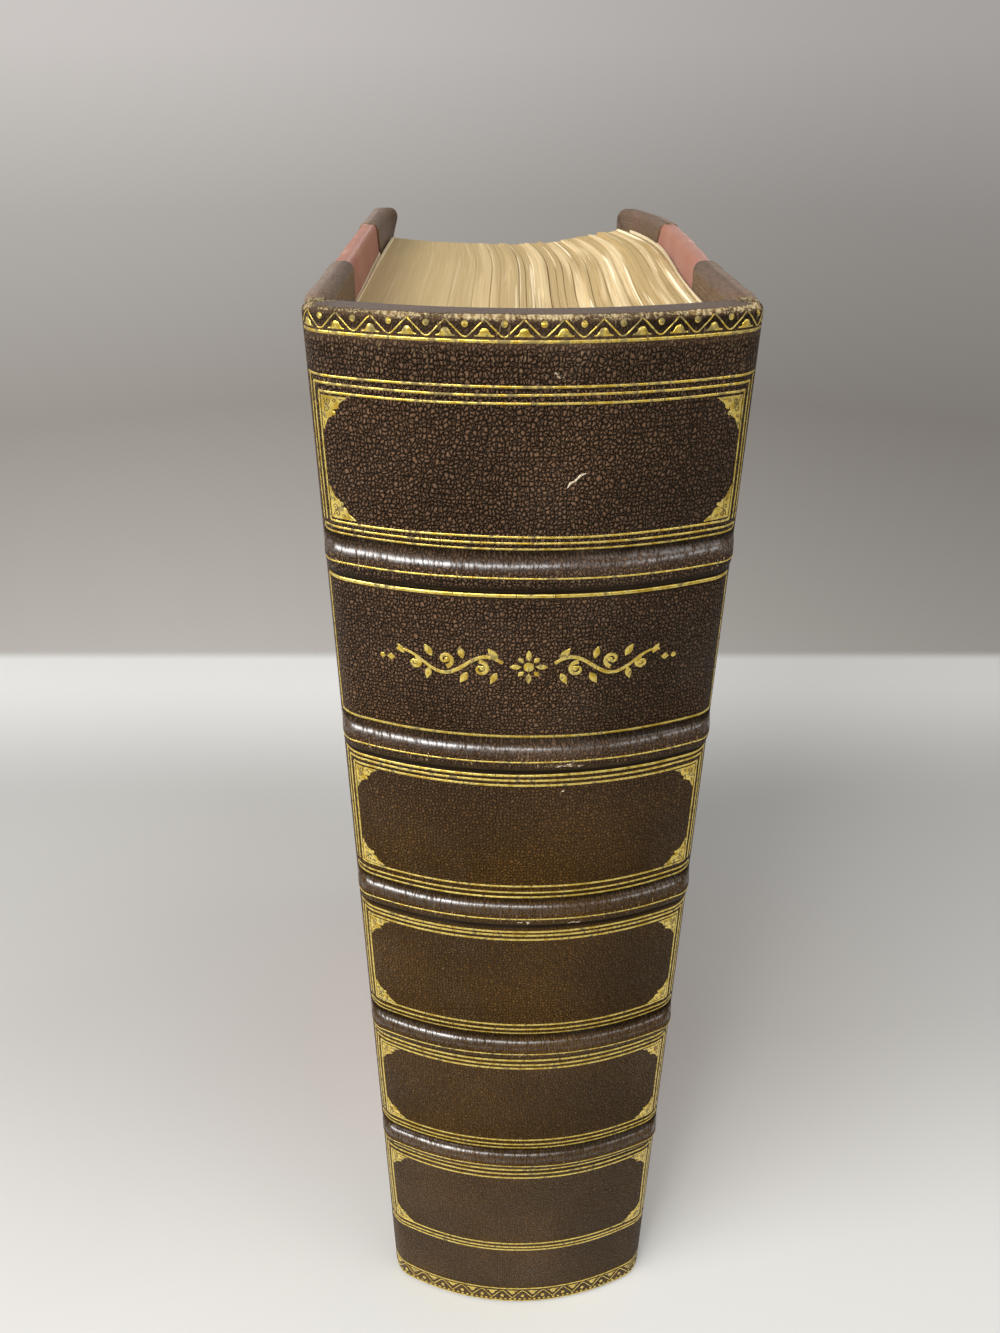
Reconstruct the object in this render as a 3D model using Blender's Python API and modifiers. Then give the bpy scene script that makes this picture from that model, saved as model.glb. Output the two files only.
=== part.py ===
"""Antique half-leather book with a rounded back, five raised bands and leather corners.

Metres, +Z up. The book stands on its tail with the spine towards -Y, the front cover
at +X and the rear cover at -X. The origin is under the middle of its bounding box.
Each cover is parented to an empty on its hinge line, at the joint beside the spine.
"""

import math

import bmesh
import bpy
from mathutils import Vector

# Driving dimensions of the whole book
BOARD_HEIGHT = 0.250
BOARD_DEPTH = 0.1445  # joint to fore-edge
BOOK_THICKNESS = 0.066  # over the two joints
SPINE_CROWN = 0.0058  # how far the back arches forward of the shoulders' front
HEAD_SQUARE = 0.0057  # board standing proud of the pages
TAIL_SQUARE = 0.0050
FORE_EDGE_SQUARE = 0.0050

# Sheets and skins
SPINE_SKIN = 0.0009
COVER_SKIN = 0.0006
MILLBOARD = 0.0019
PASTEDOWN = 0.0004
FLYLEAF = 0.0004
LINING = 0.0012
SEAT_GAP = 0.0002  # left between pieces that are glued together
JOINT_GAP = 0.0003  # left where the leather is parted along the hinge line

# Headcap, tailcap and endbands
CAP_WIDTH = 0.0058  # how far the cap reaches in over the endband
CAP_HEEL = 0.0007
CAP_EDGE_RADIUS = 0.0013
ENDBAND_RADIUS = 0.0017

# Raised bands, measured from the head down
BAND_HEIGHT = 0.0020
BAND_WIDTH = 0.0076
FIRST_BAND_DOWN = 0.0373
BAND_SPACINGS = (0.0340, 0.0364, 0.0388, 0.0393)
BAND_CORE_SHARE = 0.5  # share of the band's width that the hard core fills
CORE_EDGE = 0.0002  # the core's edge, where it runs out over the shoulders

# Covering of the boards
JOINT_LEATHER_WIDTH = 0.036  # leather that the spine sends over each board
CORNER_LEG = 0.042
TURN_IN = 0.0065
SEAM_GAP = 0.0002
EDGE_RADIUS = 0.0009
BOARD_CORNER_RADIUS = 0.0032

# Warp of the old boards and swell of the pages, at the fore-edge
FRONT_SPLAY = -0.0010
FRONT_BOW = 0.0048
REAR_SPLAY = 0.0058
REAR_BOW = 0.0004
FRONT_SWELL = 0.0006
REAR_SWELL = 0.0024
FORE_EDGE_HOLLOW = 0.0135

# How finely the curves are cut
ARC_SEGMENTS = 16
SHOULDER_SEGMENTS = 5
BAND_SEGMENTS = 8
BOARD_SEGMENTS = 10
HOLLOW_SEGMENTS = 14
CORNER_SEGMENTS = 4
CAP_SEGMENTS = 3
CORE_SEGMENTS = 4
EDGE_SEGMENTS = 2
SHARP_ANGLE = math.radians(35)

# Sizes that follow from the ones above
HALF = BOOK_THICKNESS / 2
SHOULDER_RADIUS = CAP_WIDTH + CAP_HEEL
FLAT_HALF = HALF - SHOULDER_RADIUS
JOINT_Y = SPINE_CROWN + SHOULDER_RADIUS
BACK_RADIUS = (JOINT_Y**2 + FLAT_HALF**2 - SHOULDER_RADIUS**2) / (2 * SPINE_CROWN)
SHOULDER_START = math.asin(FLAT_HALF / (BACK_RADIUS - SHOULDER_RADIUS))
QUARTER = math.pi / 2
LINING_INSET = SPINE_SKIN + SEAT_GAP
PAGES_INSET = LINING_INSET + LINING + SEAT_GAP
LINING_END = math.radians(74)
PAGES_END = math.radians(78)
ENDBAND_END = math.radians(50)
BOARD_INSET = COVER_SKIN + SEAT_GAP
COVER_THICKNESS = 2 * BOARD_INSET + MILLBOARD
PAGES_HALF = HALF - COVER_THICKNESS - FLYLEAF - 2 * SEAT_GAP
PAGES_TOP = BOARD_HEIGHT - HEAD_SQUARE
PAGES_DEPTH = BOARD_DEPTH - FORE_EDGE_SQUARE
SIDES = {"front": 1, "rear": -1}

LEATHER = ("dark_leather", (0.060, 0.026, 0.018), 0.45)
CLOTH = ("red_cloth", (0.300, 0.070, 0.045), 0.80)
BOARD = ("millboard", (0.330, 0.260, 0.180), 0.90)
PAPER = ("endpaper", (0.560, 0.480, 0.350), 0.85)
PAGES = ("aged_paper", (0.430, 0.320, 0.170), 0.85)
SILK = ("endband_silk", (0.420, 0.300, 0.120), 0.60)
LINER = ("lining_paper", (0.480, 0.380, 0.260), 0.90)


def clear_scene():
    for obj in list(bpy.data.objects):
        bpy.data.objects.remove(obj, do_unlink=True)


def material_of(finish):
    name, colour, roughness = finish
    found = bpy.data.materials.get(name)
    if found:
        return found
    made = bpy.data.materials.new(name)
    made.use_nodes = True
    shader = made.node_tree.nodes["Principled BSDF"]
    shader.inputs["Base Color"].default_value = (*colour, 1.0)
    shader.inputs["Roughness"].default_value = roughness
    shader.inputs["Metallic"].default_value = 0.0
    return made


def new_part(name, data, finish, parent):
    part = bpy.data.objects.new(name, data)
    bpy.data.collections["antique_leather_book"].objects.link(part)
    data.materials.append(material_of(finish))
    part.parent = parent
    return part


def mesh_part(name, shape, finish, parent):
    """A named part from a bmesh, which is freed here."""
    mesh = bpy.data.meshes.new(name)
    shape.to_mesh(mesh)
    shape.free()
    mesh.shade_smooth()
    mesh.set_sharp_from_angle(angle=SHARP_ANGLE)
    return new_part(name, mesh, finish, parent)


def spread(low, high, segments):
    return [low + (high - low) * k / segments for k in range(segments + 1)]


def arc_points(centre, radius, start, end, segments):
    return [
        (centre[0] + radius * math.cos(a), centre[1] + radius * math.sin(a))
        for a in spread(start, end, segments)
    ]


# The spine in plan: a shallow arc with a rounded shoulder at each end. A station is the
# angle of the surface there, 0 at the middle of the back and 90 degrees at a joint.


def stations(end=QUARTER):
    """Angles from the rear joint to the front one, up to the end angle on each side."""
    arc = spread(-SHOULDER_START, SHOULDER_START, ARC_SEGMENTS)
    shoulder = spread(SHOULDER_START, QUARTER, SHOULDER_SEGMENTS)[1:]
    kept = [a for a in shoulder if a < end - 1e-6] + [end]
    return [-a for a in reversed(kept)] + arc + kept


def spine_point(angle, inset):
    """(x, y) on the back's surface, moved in by inset."""
    if abs(angle) <= SHOULDER_START:
        centre, radius = (0.0, BACK_RADIUS), BACK_RADIUS
    else:
        centre = (math.copysign(FLAT_HALF, angle), JOINT_Y)
        radius = SHOULDER_RADIUS
    reach = radius - inset
    return (centre[0] + reach * math.sin(angle), centre[1] - reach * math.cos(angle))


def band_heights():
    """The height of each raised band's middle, from the head down."""
    heights = [BOARD_HEIGHT - FIRST_BAND_DOWN]
    for spacing in BAND_SPACINGS:
        heights.append(heights[-1] - spacing)
    return heights


def band_rise(z):
    """How far a band lifts the leather at this height, on the middle of the back."""
    rise = 0.0
    for centre in band_heights():
        across = abs(z - centre) / (BAND_WIDTH / 2)
        if across < 1:
            rise = max(rise, BAND_HEIGHT * math.cos(QUARTER * across) ** 2)
    return rise


def band_slope(z):
    """How steeply the band's flank rises at this height."""
    step = BAND_WIDTH / 100
    return (band_rise(z + step) - band_rise(z - step)) / (2 * step)


def band_fade(angle):
    """Bands run out over the shoulders: 1 on the back, 0 at the joint."""
    share = (QUARTER - abs(angle)) / (QUARTER - SHOULDER_START)
    share = min(1.0, max(0.0, share))
    return share * share * (3 - 2 * share)


def leather_rows():
    """(inset, z) down the outside of the leather, from the headcap's lip to the tailcap's."""
    r = CAP_EDGE_RADIUS
    cap = [(CAP_WIDTH, 0.0)] + [
        (r - r * math.sin(a), r - r * math.cos(a)) for a in spread(0, QUARTER, CAP_SEGMENTS)
    ]
    rows = [(inset, BOARD_HEIGHT - drop) for inset, drop in cap]
    for centre in band_heights():
        top = centre + BAND_WIDTH / 2
        rows += [(0.0, z) for z in spread(top, top - BAND_WIDTH, BAND_SEGMENTS)]
    return rows + [(inset, drop) for inset, drop in reversed(cap)]


def make_spine_leather(parent):
    """The moulded skin of the back: one sheet over the bands and round both caps."""
    columns, rows = stations(), leather_rows()
    shape = bmesh.new()
    bmesh.ops.create_grid(
        shape, x_segments=len(columns) - 1, y_segments=len(rows) - 1, size=1.0
    )
    for vert in shape.verts:
        angle = columns[round((vert.co.x + 1) / 2 * (len(columns) - 1))]
        inset, z = rows[round((1 - vert.co.y) / 2 * (len(rows) - 1))]
        x, y = spine_point(angle, inset - band_rise(z) * band_fade(angle))
        vert.co = Vector((x, y, z))
    part = mesh_part("spine_leather", shape, LEATHER, parent)
    shell = part.modifiers.new("skin", "SOLIDIFY")
    shell.thickness = SPINE_SKIN
    shell.offset = -1.0
    shell.use_even_offset = True
    return part


def outline_part(name, points, low, high, finish, parent):
    """A flat outline in plan, given its height between two levels."""
    curve = bpy.data.curves.new(name, "CURVE")
    curve.dimensions = "2D"
    curve.fill_mode = "BOTH"
    curve.extrude = (high - low) / 2
    line = curve.splines.new("POLY")
    line.points.add(len(points) - 1)
    for point, (x, y) in zip(line.points, points):
        point.co = (x, y, 0.0, 1.0)
    line.use_cyclic_u = True
    part = new_part(name, curve, finish, parent)
    part.location.z = (low + high) / 2
    return part


def make_spine_lining(parent):
    angles = stations(LINING_END)
    outer = [spine_point(a, LINING_INSET) for a in angles]
    inner = [spine_point(a, LINING_INSET + LINING) for a in reversed(angles)]
    return outline_part(
        "spine_lining", outer + inner, TAIL_SQUARE, PAGES_TOP, LINER, parent
    )


def core_thickness(z, angle):
    """Room under the band here, between the lining and the skin, which leans with the flank."""
    fade = band_fade(angle)
    lean = math.hypot(1.0, band_slope(z) * fade)
    return band_rise(z) * fade - SPINE_SKIN * (lean - 1.0) - SEAT_GAP


def make_band_core(number, centre, parent):
    """The strip under one band: flat on the lining, domed outside, run out at its ends."""
    half = BAND_WIDTH / 2 * BAND_CORE_SHARE
    levels = spread(centre - half, centre + half, CORE_SEGMENTS)
    shape = bmesh.new()
    rings = []
    for angle in stations():
        if core_thickness(centre + half, angle) < CORE_EDGE:
            continue
        base = [(SPINE_SKIN, z) for z in levels]
        dome = [(SPINE_SKIN - core_thickness(z, angle), z) for z in reversed(levels)]
        rings.append(
            [
                shape.verts.new((*spine_point(angle, inset), z))
                for inset, z in base + dome
            ]
        )
    count = len(rings[0])
    for here, there in zip(rings, rings[1:]):
        for k in range(count):
            after = (k + 1) % count
            shape.faces.new((here[k], here[after], there[after], there[k]))
    shape.faces.new(rings[0])
    shape.faces.new(rings[-1])
    bmesh.ops.recalc_face_normals(shape, faces=shape.faces[:])
    return mesh_part(f"band_core_{number}", shape, BOARD, parent)


def make_endband(name, z, parent):
    """The worked band that lies on the pages' edge, along the back and under the cap."""
    curve = bpy.data.curves.new(name, "CURVE")
    curve.dimensions = "3D"
    curve.bevel_depth = ENDBAND_RADIUS
    curve.bevel_resolution = 2
    curve.use_fill_caps = True
    angles = stations(ENDBAND_END)
    line = curve.splines.new("POLY")
    line.points.add(len(angles) - 1)
    for point, angle in zip(line.points, angles):
        x, y = spine_point(angle, PAGES_INSET + ENDBAND_RADIUS)
        point.co = (x, y, z, 1.0)
    return new_part(name, curve, SILK, parent)


# A board in plan. Everything on it is measured along the board from the joint, and then
# moved out sideways by the board's warp, so that all of its layers stay parallel.


def warp(side_name, along):
    """How far the board's outer face stands out from the joint, this far along it."""
    share = along / BOARD_DEPTH
    splay, bow = {
        "front": (FRONT_SPLAY, FRONT_BOW),
        "rear": (REAR_SPLAY, REAR_BOW),
    }[side_name]
    return splay * share + bow * math.sin(math.pi * min(1.0, share * share))


def pages_side(side_name, along):
    """Half the pages' thickness on this side, kept clear of the board and the flyleaf."""
    swell = {"front": FRONT_SWELL, "rear": REAR_SWELL}[side_name]
    free = PAGES_HALF + swell * along / PAGES_DEPTH
    return min(free, PAGES_HALF + warp(side_name, along))


def pages_edge(side_name, outward, end):
    """Points down one side of the pages, from the shoulder towards the fore-edge."""
    sign = SIDES[side_name]
    return [
        (sign * (pages_side(side_name, along) + outward), JOINT_Y + along)
        for along in spread(0.0, end, BOARD_SEGMENTS)
    ]


def make_text_block(parent):
    """All the leaves as one solid: rounded back, shoulders, and a hollow fore-edge."""
    back = [spine_point(a, PAGES_INSET) for a in stations(PAGES_END)]
    front = pages_edge("front", 0.0, PAGES_DEPTH)
    rear = pages_edge("rear", 0.0, PAGES_DEPTH)
    right, left = front[-1], rear[-1]
    chord_half = (right[0] - left[0]) / 2
    middle = (right[0] + left[0]) / 2
    radius = (chord_half**2 + FORE_EDGE_HOLLOW**2) / (2 * FORE_EDGE_HOLLOW)
    sweep = math.asin(chord_half / radius)
    centre = (middle, right[1] + radius - FORE_EDGE_HOLLOW)
    hollow = arc_points(
        centre, radius, sweep - QUARTER, -sweep - QUARTER, HOLLOW_SEGMENTS
    )
    outline = back + front[:-1] + hollow + rear[-2::-1]
    return outline_part("text_block", outline, TAIL_SQUARE, PAGES_TOP, PAGES, parent)


def make_flyleaf(side_name, parent):
    near = pages_edge(side_name, SEAT_GAP, PAGES_DEPTH - SEAT_GAP)
    far = pages_edge(side_name, SEAT_GAP + FLYLEAF, PAGES_DEPTH - SEAT_GAP)
    name = f"{side_name}_flyleaf"
    outline = near[:0:-1] + far[1:]
    return outline_part(name, outline, TAIL_SQUARE, PAGES_TOP, PAPER, parent)


def plate(start, end, depths, low, high, corner=0.0, edge=0.0):
    """A flat slab on the board: start to end along it, between two depths from its outer
    face. Its two fore-edge corners may be rounded, and its rim edges softened."""
    shape = bmesh.new()
    outer, inner = -depths[0], -depths[1]
    outline = [(start, low)]
    if corner:
        outline += arc_points(
            (end - corner, low + corner), corner, -QUARTER, 0.0, CORNER_SEGMENTS
        )
        outline += arc_points(
            (end - corner, high - corner), corner, 0.0, QUARTER, CORNER_SEGMENTS
        )
    else:
        outline += [(end, low), (end, high)]
    outline.append((start, high))
    face = shape.faces.new([shape.verts.new((outer, s, z)) for s, z in outline])
    made = bmesh.ops.extrude_face_region(shape, geom=[face])
    moved = [v for v in made["geom"] if isinstance(v, bmesh.types.BMVert)]
    bmesh.ops.translate(shape, verts=moved, vec=(inner - outer, 0.0, 0.0))
    bmesh.ops.recalc_face_normals(shape, faces=shape.faces[:])
    if edge:
        rims = [
            e
            for e in shape.edges
            if abs(e.verts[0].co.x - e.verts[1].co.x) < 1e-7
            and max(v.co.y for v in e.verts) > start + 1e-7
        ]
        bmesh.ops.bevel(
            shape,
            geom=rims,
            offset=edge,
            segments=EDGE_SEGMENTS,
            profile=0.5,
            affect="EDGES",
        )
    return shape


def corner_prism(at_head, leg):
    """A triangular block over one fore-edge corner, cut off at 45 degrees."""
    reach = 2 * COVER_THICKNESS
    past = COVER_THICKNESS
    end = BOARD_DEPTH + past
    side = leg + 2 * past
    edge_z = BOARD_HEIGHT + past if at_head else -past
    far_z = edge_z - side if at_head else edge_z + side
    shape = bmesh.new()
    corners = [(end - side, edge_z), (end, edge_z), (end, far_z)]
    face = shape.faces.new([shape.verts.new((reach, s, z)) for s, z in corners])
    made = bmesh.ops.extrude_face_region(shape, geom=[face])
    moved = [v for v in made["geom"] if isinstance(v, bmesh.types.BMVert)]
    bmesh.ops.translate(shape, verts=moved, vec=(-2 * reach, 0.0, 0.0))
    bmesh.ops.recalc_face_normals(shape, faces=shape.faces[:])
    return shape


def combined(base, steps):
    """The mesh left after Boolean steps, each (operation, bmesh). The bmeshes are freed."""
    cutters = bpy.data.collections["book_cutters"]
    objects = []
    for shape in [base] + [shape for _, shape in steps]:
        mesh = bpy.data.meshes.new("cutter")
        shape.to_mesh(mesh)
        shape.free()
        made = bpy.data.objects.new("cutter", mesh)
        made.hide_render = True
        made.display_type = "WIRE"
        cutters.objects.link(made)
        objects.append(made)
    for (operation, _), other in zip(steps, objects[1:]):
        step = objects[0].modifiers.new(operation.lower(), "BOOLEAN")
        step.operation = operation
        step.object = other
        step.solver = "EXACT"
    graph = bpy.context.evaluated_depsgraph_get()
    result = bmesh.new()
    result.from_mesh(bpy.data.meshes.new_from_object(objects[0].evaluated_get(graph)))
    for made in objects:
        bpy.data.objects.remove(made, do_unlink=True)
    return result


def wrapped_skin():
    """The whole covering of one board, flat: round three edges and turned in, with room
    for the millboard, and a window inside for the pastedown."""
    face = (0.0, COVER_THICKNESS)
    room = (COVER_SKIN, COVER_THICKNESS - COVER_SKIN)
    past = -COVER_THICKNESS
    window = (COVER_THICKNESS / 2, 2 * COVER_THICKNESS)
    base = plate(
        JOINT_GAP, BOARD_DEPTH, face, 0.0, BOARD_HEIGHT, BOARD_CORNER_RADIUS, EDGE_RADIUS
    )
    cavity = plate(
        past,
        BOARD_DEPTH - COVER_SKIN,
        room,
        COVER_SKIN,
        BOARD_HEIGHT - COVER_SKIN,
        BOARD_CORNER_RADIUS - COVER_SKIN,
    )
    opening = plate(
        past, BOARD_DEPTH - TURN_IN, window, TURN_IN, BOARD_HEIGHT - TURN_IN
    )
    return combined(base, [("DIFFERENCE", cavity), ("DIFFERENCE", opening)])


def joint_zone(width):
    """A block over everything from the joint to this far along the board."""
    past = COVER_THICKNESS
    return plate(-past, width, (-past, 2 * past), -past, BOARD_HEIGHT + past)


def bent(shape, side_name):
    """Cuts a flat piece across at even steps along the board, and gives it the board's warp."""
    for along in spread(0.0, BOARD_DEPTH, BOARD_SEGMENTS)[1:-1]:
        bmesh.ops.bisect_plane(
            shape,
            geom=shape.verts[:] + shape.edges[:] + shape.faces[:],
            plane_co=(0.0, along, 0.0),
            plane_no=(0.0, 1.0, 0.0),
            dist=1e-6,
        )
    steps = spread(0.0, BOARD_DEPTH, BOARD_SEGMENTS)
    pitch = BOARD_DEPTH / BOARD_SEGMENTS
    for vert in shape.verts:
        k = min(BOARD_SEGMENTS - 1, max(0, int(vert.co.y / pitch)))
        share = (vert.co.y - steps[k]) / pitch
        here, there = warp(side_name, steps[k]), warp(side_name, steps[k + 1])
        vert.co.x += here + (there - here) * share
    if side_name == "rear":
        for vert in shape.verts:
            vert.co.x = -vert.co.x
        bmesh.ops.reverse_faces(shape, faces=shape.faces[:])
    return shape


def cover_shapes():
    """Each piece of a cover, flat, with its finish."""
    board_end = BOARD_DEPTH - BOARD_INSET
    board = plate(
        JOINT_GAP,
        board_end,
        (BOARD_INSET, BOARD_INSET + MILLBOARD),
        BOARD_INSET,
        BOARD_HEIGHT - BOARD_INSET,
        BOARD_CORNER_RADIUS - BOARD_INSET,
    )
    sheet_top = COVER_THICKNESS - COVER_SKIN
    margin = TURN_IN + SEAM_GAP
    pastedown = plate(
        JOINT_GAP,
        BOARD_DEPTH - margin,
        (sheet_top, sheet_top + PASTEDOWN),
        margin,
        BOARD_HEIGHT - margin,
    )
    slant_gap = SEAM_GAP * math.sqrt(2)
    joint = combined(
        wrapped_skin(), [("INTERSECT", joint_zone(JOINT_LEATHER_WIDTH))]
    )
    cloth = combined(
        wrapped_skin(),
        [
            ("DIFFERENCE", joint_zone(JOINT_LEATHER_WIDTH + SEAM_GAP)),
            ("DIFFERENCE", corner_prism(True, CORNER_LEG + slant_gap)),
            ("DIFFERENCE", corner_prism(False, CORNER_LEG + slant_gap)),
        ],
    )
    head = combined(wrapped_skin(), [("INTERSECT", corner_prism(True, CORNER_LEG))])
    tail = combined(wrapped_skin(), [("INTERSECT", corner_prism(False, CORNER_LEG))])
    return (
        ("board", board, BOARD),
        ("pastedown", pastedown, PAPER),
        ("joint_leather", joint, LEATHER),
        ("cloth_side", cloth, CLOTH),
        ("corner_head", head, LEATHER),
        ("corner_tail", tail, LEATHER),
    )


def make_cover(side_name, parent):
    """One cover, on an empty on its hinge line: the leather's outer face at the joint."""
    hinge = bpy.data.objects.new(f"{side_name}_hinge", None)
    bpy.data.collections["antique_leather_book"].objects.link(hinge)
    hinge.parent = parent
    hinge.location = (SIDES[side_name] * HALF, JOINT_Y + JOINT_GAP / 2, 0.0)
    back = Vector((0.0, -JOINT_GAP / 2, 0.0))
    for piece, shape, finish in cover_shapes():
        bent(shape, side_name)
        bmesh.ops.translate(shape, verts=shape.verts[:], vec=back)
        mesh_part(f"{side_name}_{piece}", shape, finish, hinge)
    return hinge


def stand_on_origin(book):
    """Moves the book so that the origin is under the middle of its bounding box."""
    bpy.context.view_layer.update()
    graph = bpy.context.evaluated_depsgraph_get()
    corners = []
    for part in bpy.data.collections["antique_leather_book"].objects:
        if part.type == "EMPTY":
            continue
        seen = part.evaluated_get(graph)
        corners += [seen.matrix_world @ vert.co for vert in seen.to_mesh().vertices]
        seen.to_mesh_clear()
    for axis in (0, 1):
        values = [corner[axis] for corner in corners]
        book.location[axis] = -(min(values) + max(values)) / 2
    book.location.z = -min(corner.z for corner in corners)


def main():
    clear_scene()
    for name in ("antique_leather_book", "book_cutters"):
        bpy.context.scene.collection.children.link(bpy.data.collections.new(name))
    book = bpy.data.objects.new("book_frame", None)
    bpy.data.collections["antique_leather_book"].objects.link(book)
    make_text_block(book)
    make_spine_lining(book)
    make_spine_leather(book)
    for number, centre in enumerate(band_heights(), start=1):
        make_band_core(number, centre, book)
    lift = ENDBAND_RADIUS + SEAT_GAP
    make_endband("head_band", PAGES_TOP + lift, book)
    make_endband("tail_band", TAIL_SQUARE - lift, book)
    for side_name in SIDES:
        make_flyleaf(side_name, book)
        make_cover(side_name, book)
    stand_on_origin(book)


main()
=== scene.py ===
# %% [markdown]
# # An old half-leather book with a gilt back
#
# The part is a thick book that stands on its tail with its rounded back towards us:
# dark morocco leather on the back, joints and corners, salmon cloth on the sides, gold
# lines and ornaments on the back, and old pages with a hollow fore-edge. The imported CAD
# model gives every size and both hinges. This file dresses it, one piece after another.

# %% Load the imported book
import math

import bmesh
import bpy
import numpy as np
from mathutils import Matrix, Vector


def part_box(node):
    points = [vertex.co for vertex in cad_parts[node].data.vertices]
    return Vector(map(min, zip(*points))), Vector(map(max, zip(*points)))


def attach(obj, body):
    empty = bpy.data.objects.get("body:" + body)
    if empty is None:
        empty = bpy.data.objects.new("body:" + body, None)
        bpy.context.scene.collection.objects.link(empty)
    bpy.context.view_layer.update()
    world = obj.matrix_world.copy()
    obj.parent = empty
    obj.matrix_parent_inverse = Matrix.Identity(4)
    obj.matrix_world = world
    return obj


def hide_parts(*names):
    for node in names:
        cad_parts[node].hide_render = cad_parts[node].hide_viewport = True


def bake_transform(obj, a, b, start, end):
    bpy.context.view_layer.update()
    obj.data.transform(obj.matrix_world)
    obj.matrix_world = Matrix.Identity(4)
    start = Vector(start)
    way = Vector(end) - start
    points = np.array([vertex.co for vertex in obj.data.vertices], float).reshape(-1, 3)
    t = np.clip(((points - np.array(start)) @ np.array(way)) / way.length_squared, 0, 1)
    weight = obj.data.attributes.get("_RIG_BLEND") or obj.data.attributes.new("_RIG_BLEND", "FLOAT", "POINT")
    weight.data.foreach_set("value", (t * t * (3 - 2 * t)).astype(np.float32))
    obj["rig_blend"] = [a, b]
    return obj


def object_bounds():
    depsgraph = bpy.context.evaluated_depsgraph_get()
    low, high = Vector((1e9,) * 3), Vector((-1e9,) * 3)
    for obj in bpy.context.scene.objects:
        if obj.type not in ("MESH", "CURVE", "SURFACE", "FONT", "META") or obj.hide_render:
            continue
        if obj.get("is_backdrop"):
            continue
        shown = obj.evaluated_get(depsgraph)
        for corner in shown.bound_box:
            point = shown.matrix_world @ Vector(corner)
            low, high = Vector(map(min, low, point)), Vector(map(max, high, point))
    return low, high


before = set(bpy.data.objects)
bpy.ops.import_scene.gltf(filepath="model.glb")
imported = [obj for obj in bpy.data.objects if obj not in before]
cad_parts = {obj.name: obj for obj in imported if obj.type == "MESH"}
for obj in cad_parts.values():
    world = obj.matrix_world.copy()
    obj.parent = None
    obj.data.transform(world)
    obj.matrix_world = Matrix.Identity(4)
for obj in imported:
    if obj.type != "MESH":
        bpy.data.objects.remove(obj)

CAD_BOX = [list(corner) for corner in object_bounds()]
scene = bpy.context.scene

# %% [markdown]
# ## The view and the room
#
# The photograph was taken from a hand's height over the back of the book, looking about
# thirty degrees down, so the back narrows strongly towards the table. The lens and the
# place come from a fit to the gold lines, whose heights the CAD model shares. The sensor
# width belongs to the long side of the picture.


# %% Camera
def put_in_scene(name, data):
    made = bpy.data.objects.new(name, data)
    scene.collection.objects.link(made)
    return made


camera_data = bpy.data.cameras.new("photo_camera")
camera_data.sensor_width = 36.0
camera_data.lens = 25.6
camera_data.clip_start = 0.005
camera = put_in_scene("photo_camera", camera_data)
camera.location = (-0.0038, -0.2089, 0.27356)
camera.rotation_euler = (math.radians(59.55), 0.0, 0.0)
scene.camera = camera
print("camera at", [round(v, 4) for v in camera.location])


# %% [markdown]
# Node trees are written as sums: a Net is a tree whose methods each add one node, take
# numbers or sockets, and hand back a socket. A Finish is the net of a new material, with
# its shader and its two kinds of coordinates at hand.


# %% Short ways to write node trees
class Net:
    """A node tree, with a method for each kind of node that it uses most."""

    def __init__(self, tree):
        self.tree = tree

    def feed(self, socket, value):
        """Links a socket to this input, or sets a number, a vector or a colour on it."""
        if isinstance(value, bpy.types.NodeSocket):
            self.tree.links.new(value, socket)
        elif socket.type == "RGBA":
            socket.default_value = (*value, 1.0)
        else:
            socket.default_value = value

    def add(self, kind, values=None, **settings):
        """The outputs of a new node, made with its settings and its inputs."""
        made = self.tree.nodes.new(kind)
        for name, value in settings.items():
            setattr(made, name, value)
        for key, value in (values or {}).items():
            self.feed(made.inputs[key], value)
        return made.outputs

    def calc(self, operation, first, second=0.0, clamp=False):
        values = {0: first, 1: second}
        return self.add("ShaderNodeMath", values, operation=operation, use_clamp=clamp)[0]

    def plus(self, first, second, clamp=False):
        return self.calc("ADD", first, second, clamp)

    def minus(self, first, second, clamp=False):
        return self.calc("SUBTRACT", first, second, clamp)

    def times(self, first, second, clamp=False):
        return self.calc("MULTIPLY", first, second, clamp)

    def larger(self, first, second, clamp=False):
        return self.calc("MAXIMUM", first, second, clamp)

    def vector(self, operation, first, second):
        key = "Scale" if operation == "SCALE" else 1
        return self.add("ShaderNodeVectorMath", {0: first, key: second}, operation=operation)[0]

    def ease(self, value, low, high, start=0.0, end=1.0):
        """A smooth step from start to end while the value goes from low to high."""
        sockets = {0: value, 1: low, 2: high, 3: start, 4: end}
        return self.add("ShaderNodeMapRange", sockets, interpolation_type="SMOOTHSTEP")[0]

    def mix(self, share, first, second, mode="MIX"):
        sockets = {0: share, 6: first, 7: second}
        return self.add("ShaderNodeMix", sockets, data_type="RGBA", blend_type=mode)[2]

    def noise(self, place, scale, detail=2.0, roughness=0.5, flat=False, output="Fac"):
        values = {"Vector": place, "Scale": scale, "Detail": detail, "Roughness": roughness}
        size = "2D" if flat else "3D"
        return self.add("ShaderNodeTexNoise", values, noise_dimensions=size)[output]

    def split(self, vector):
        return self.add("ShaderNodeSeparateXYZ", {0: vector})

    def placed(self, group, **values):
        """A shared group placed in this tree, with its own values."""
        values = {key.replace("_", " "): value for key, value in values.items()}
        return self.add("ShaderNodeGroup", values, node_tree=group.tree)


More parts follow.
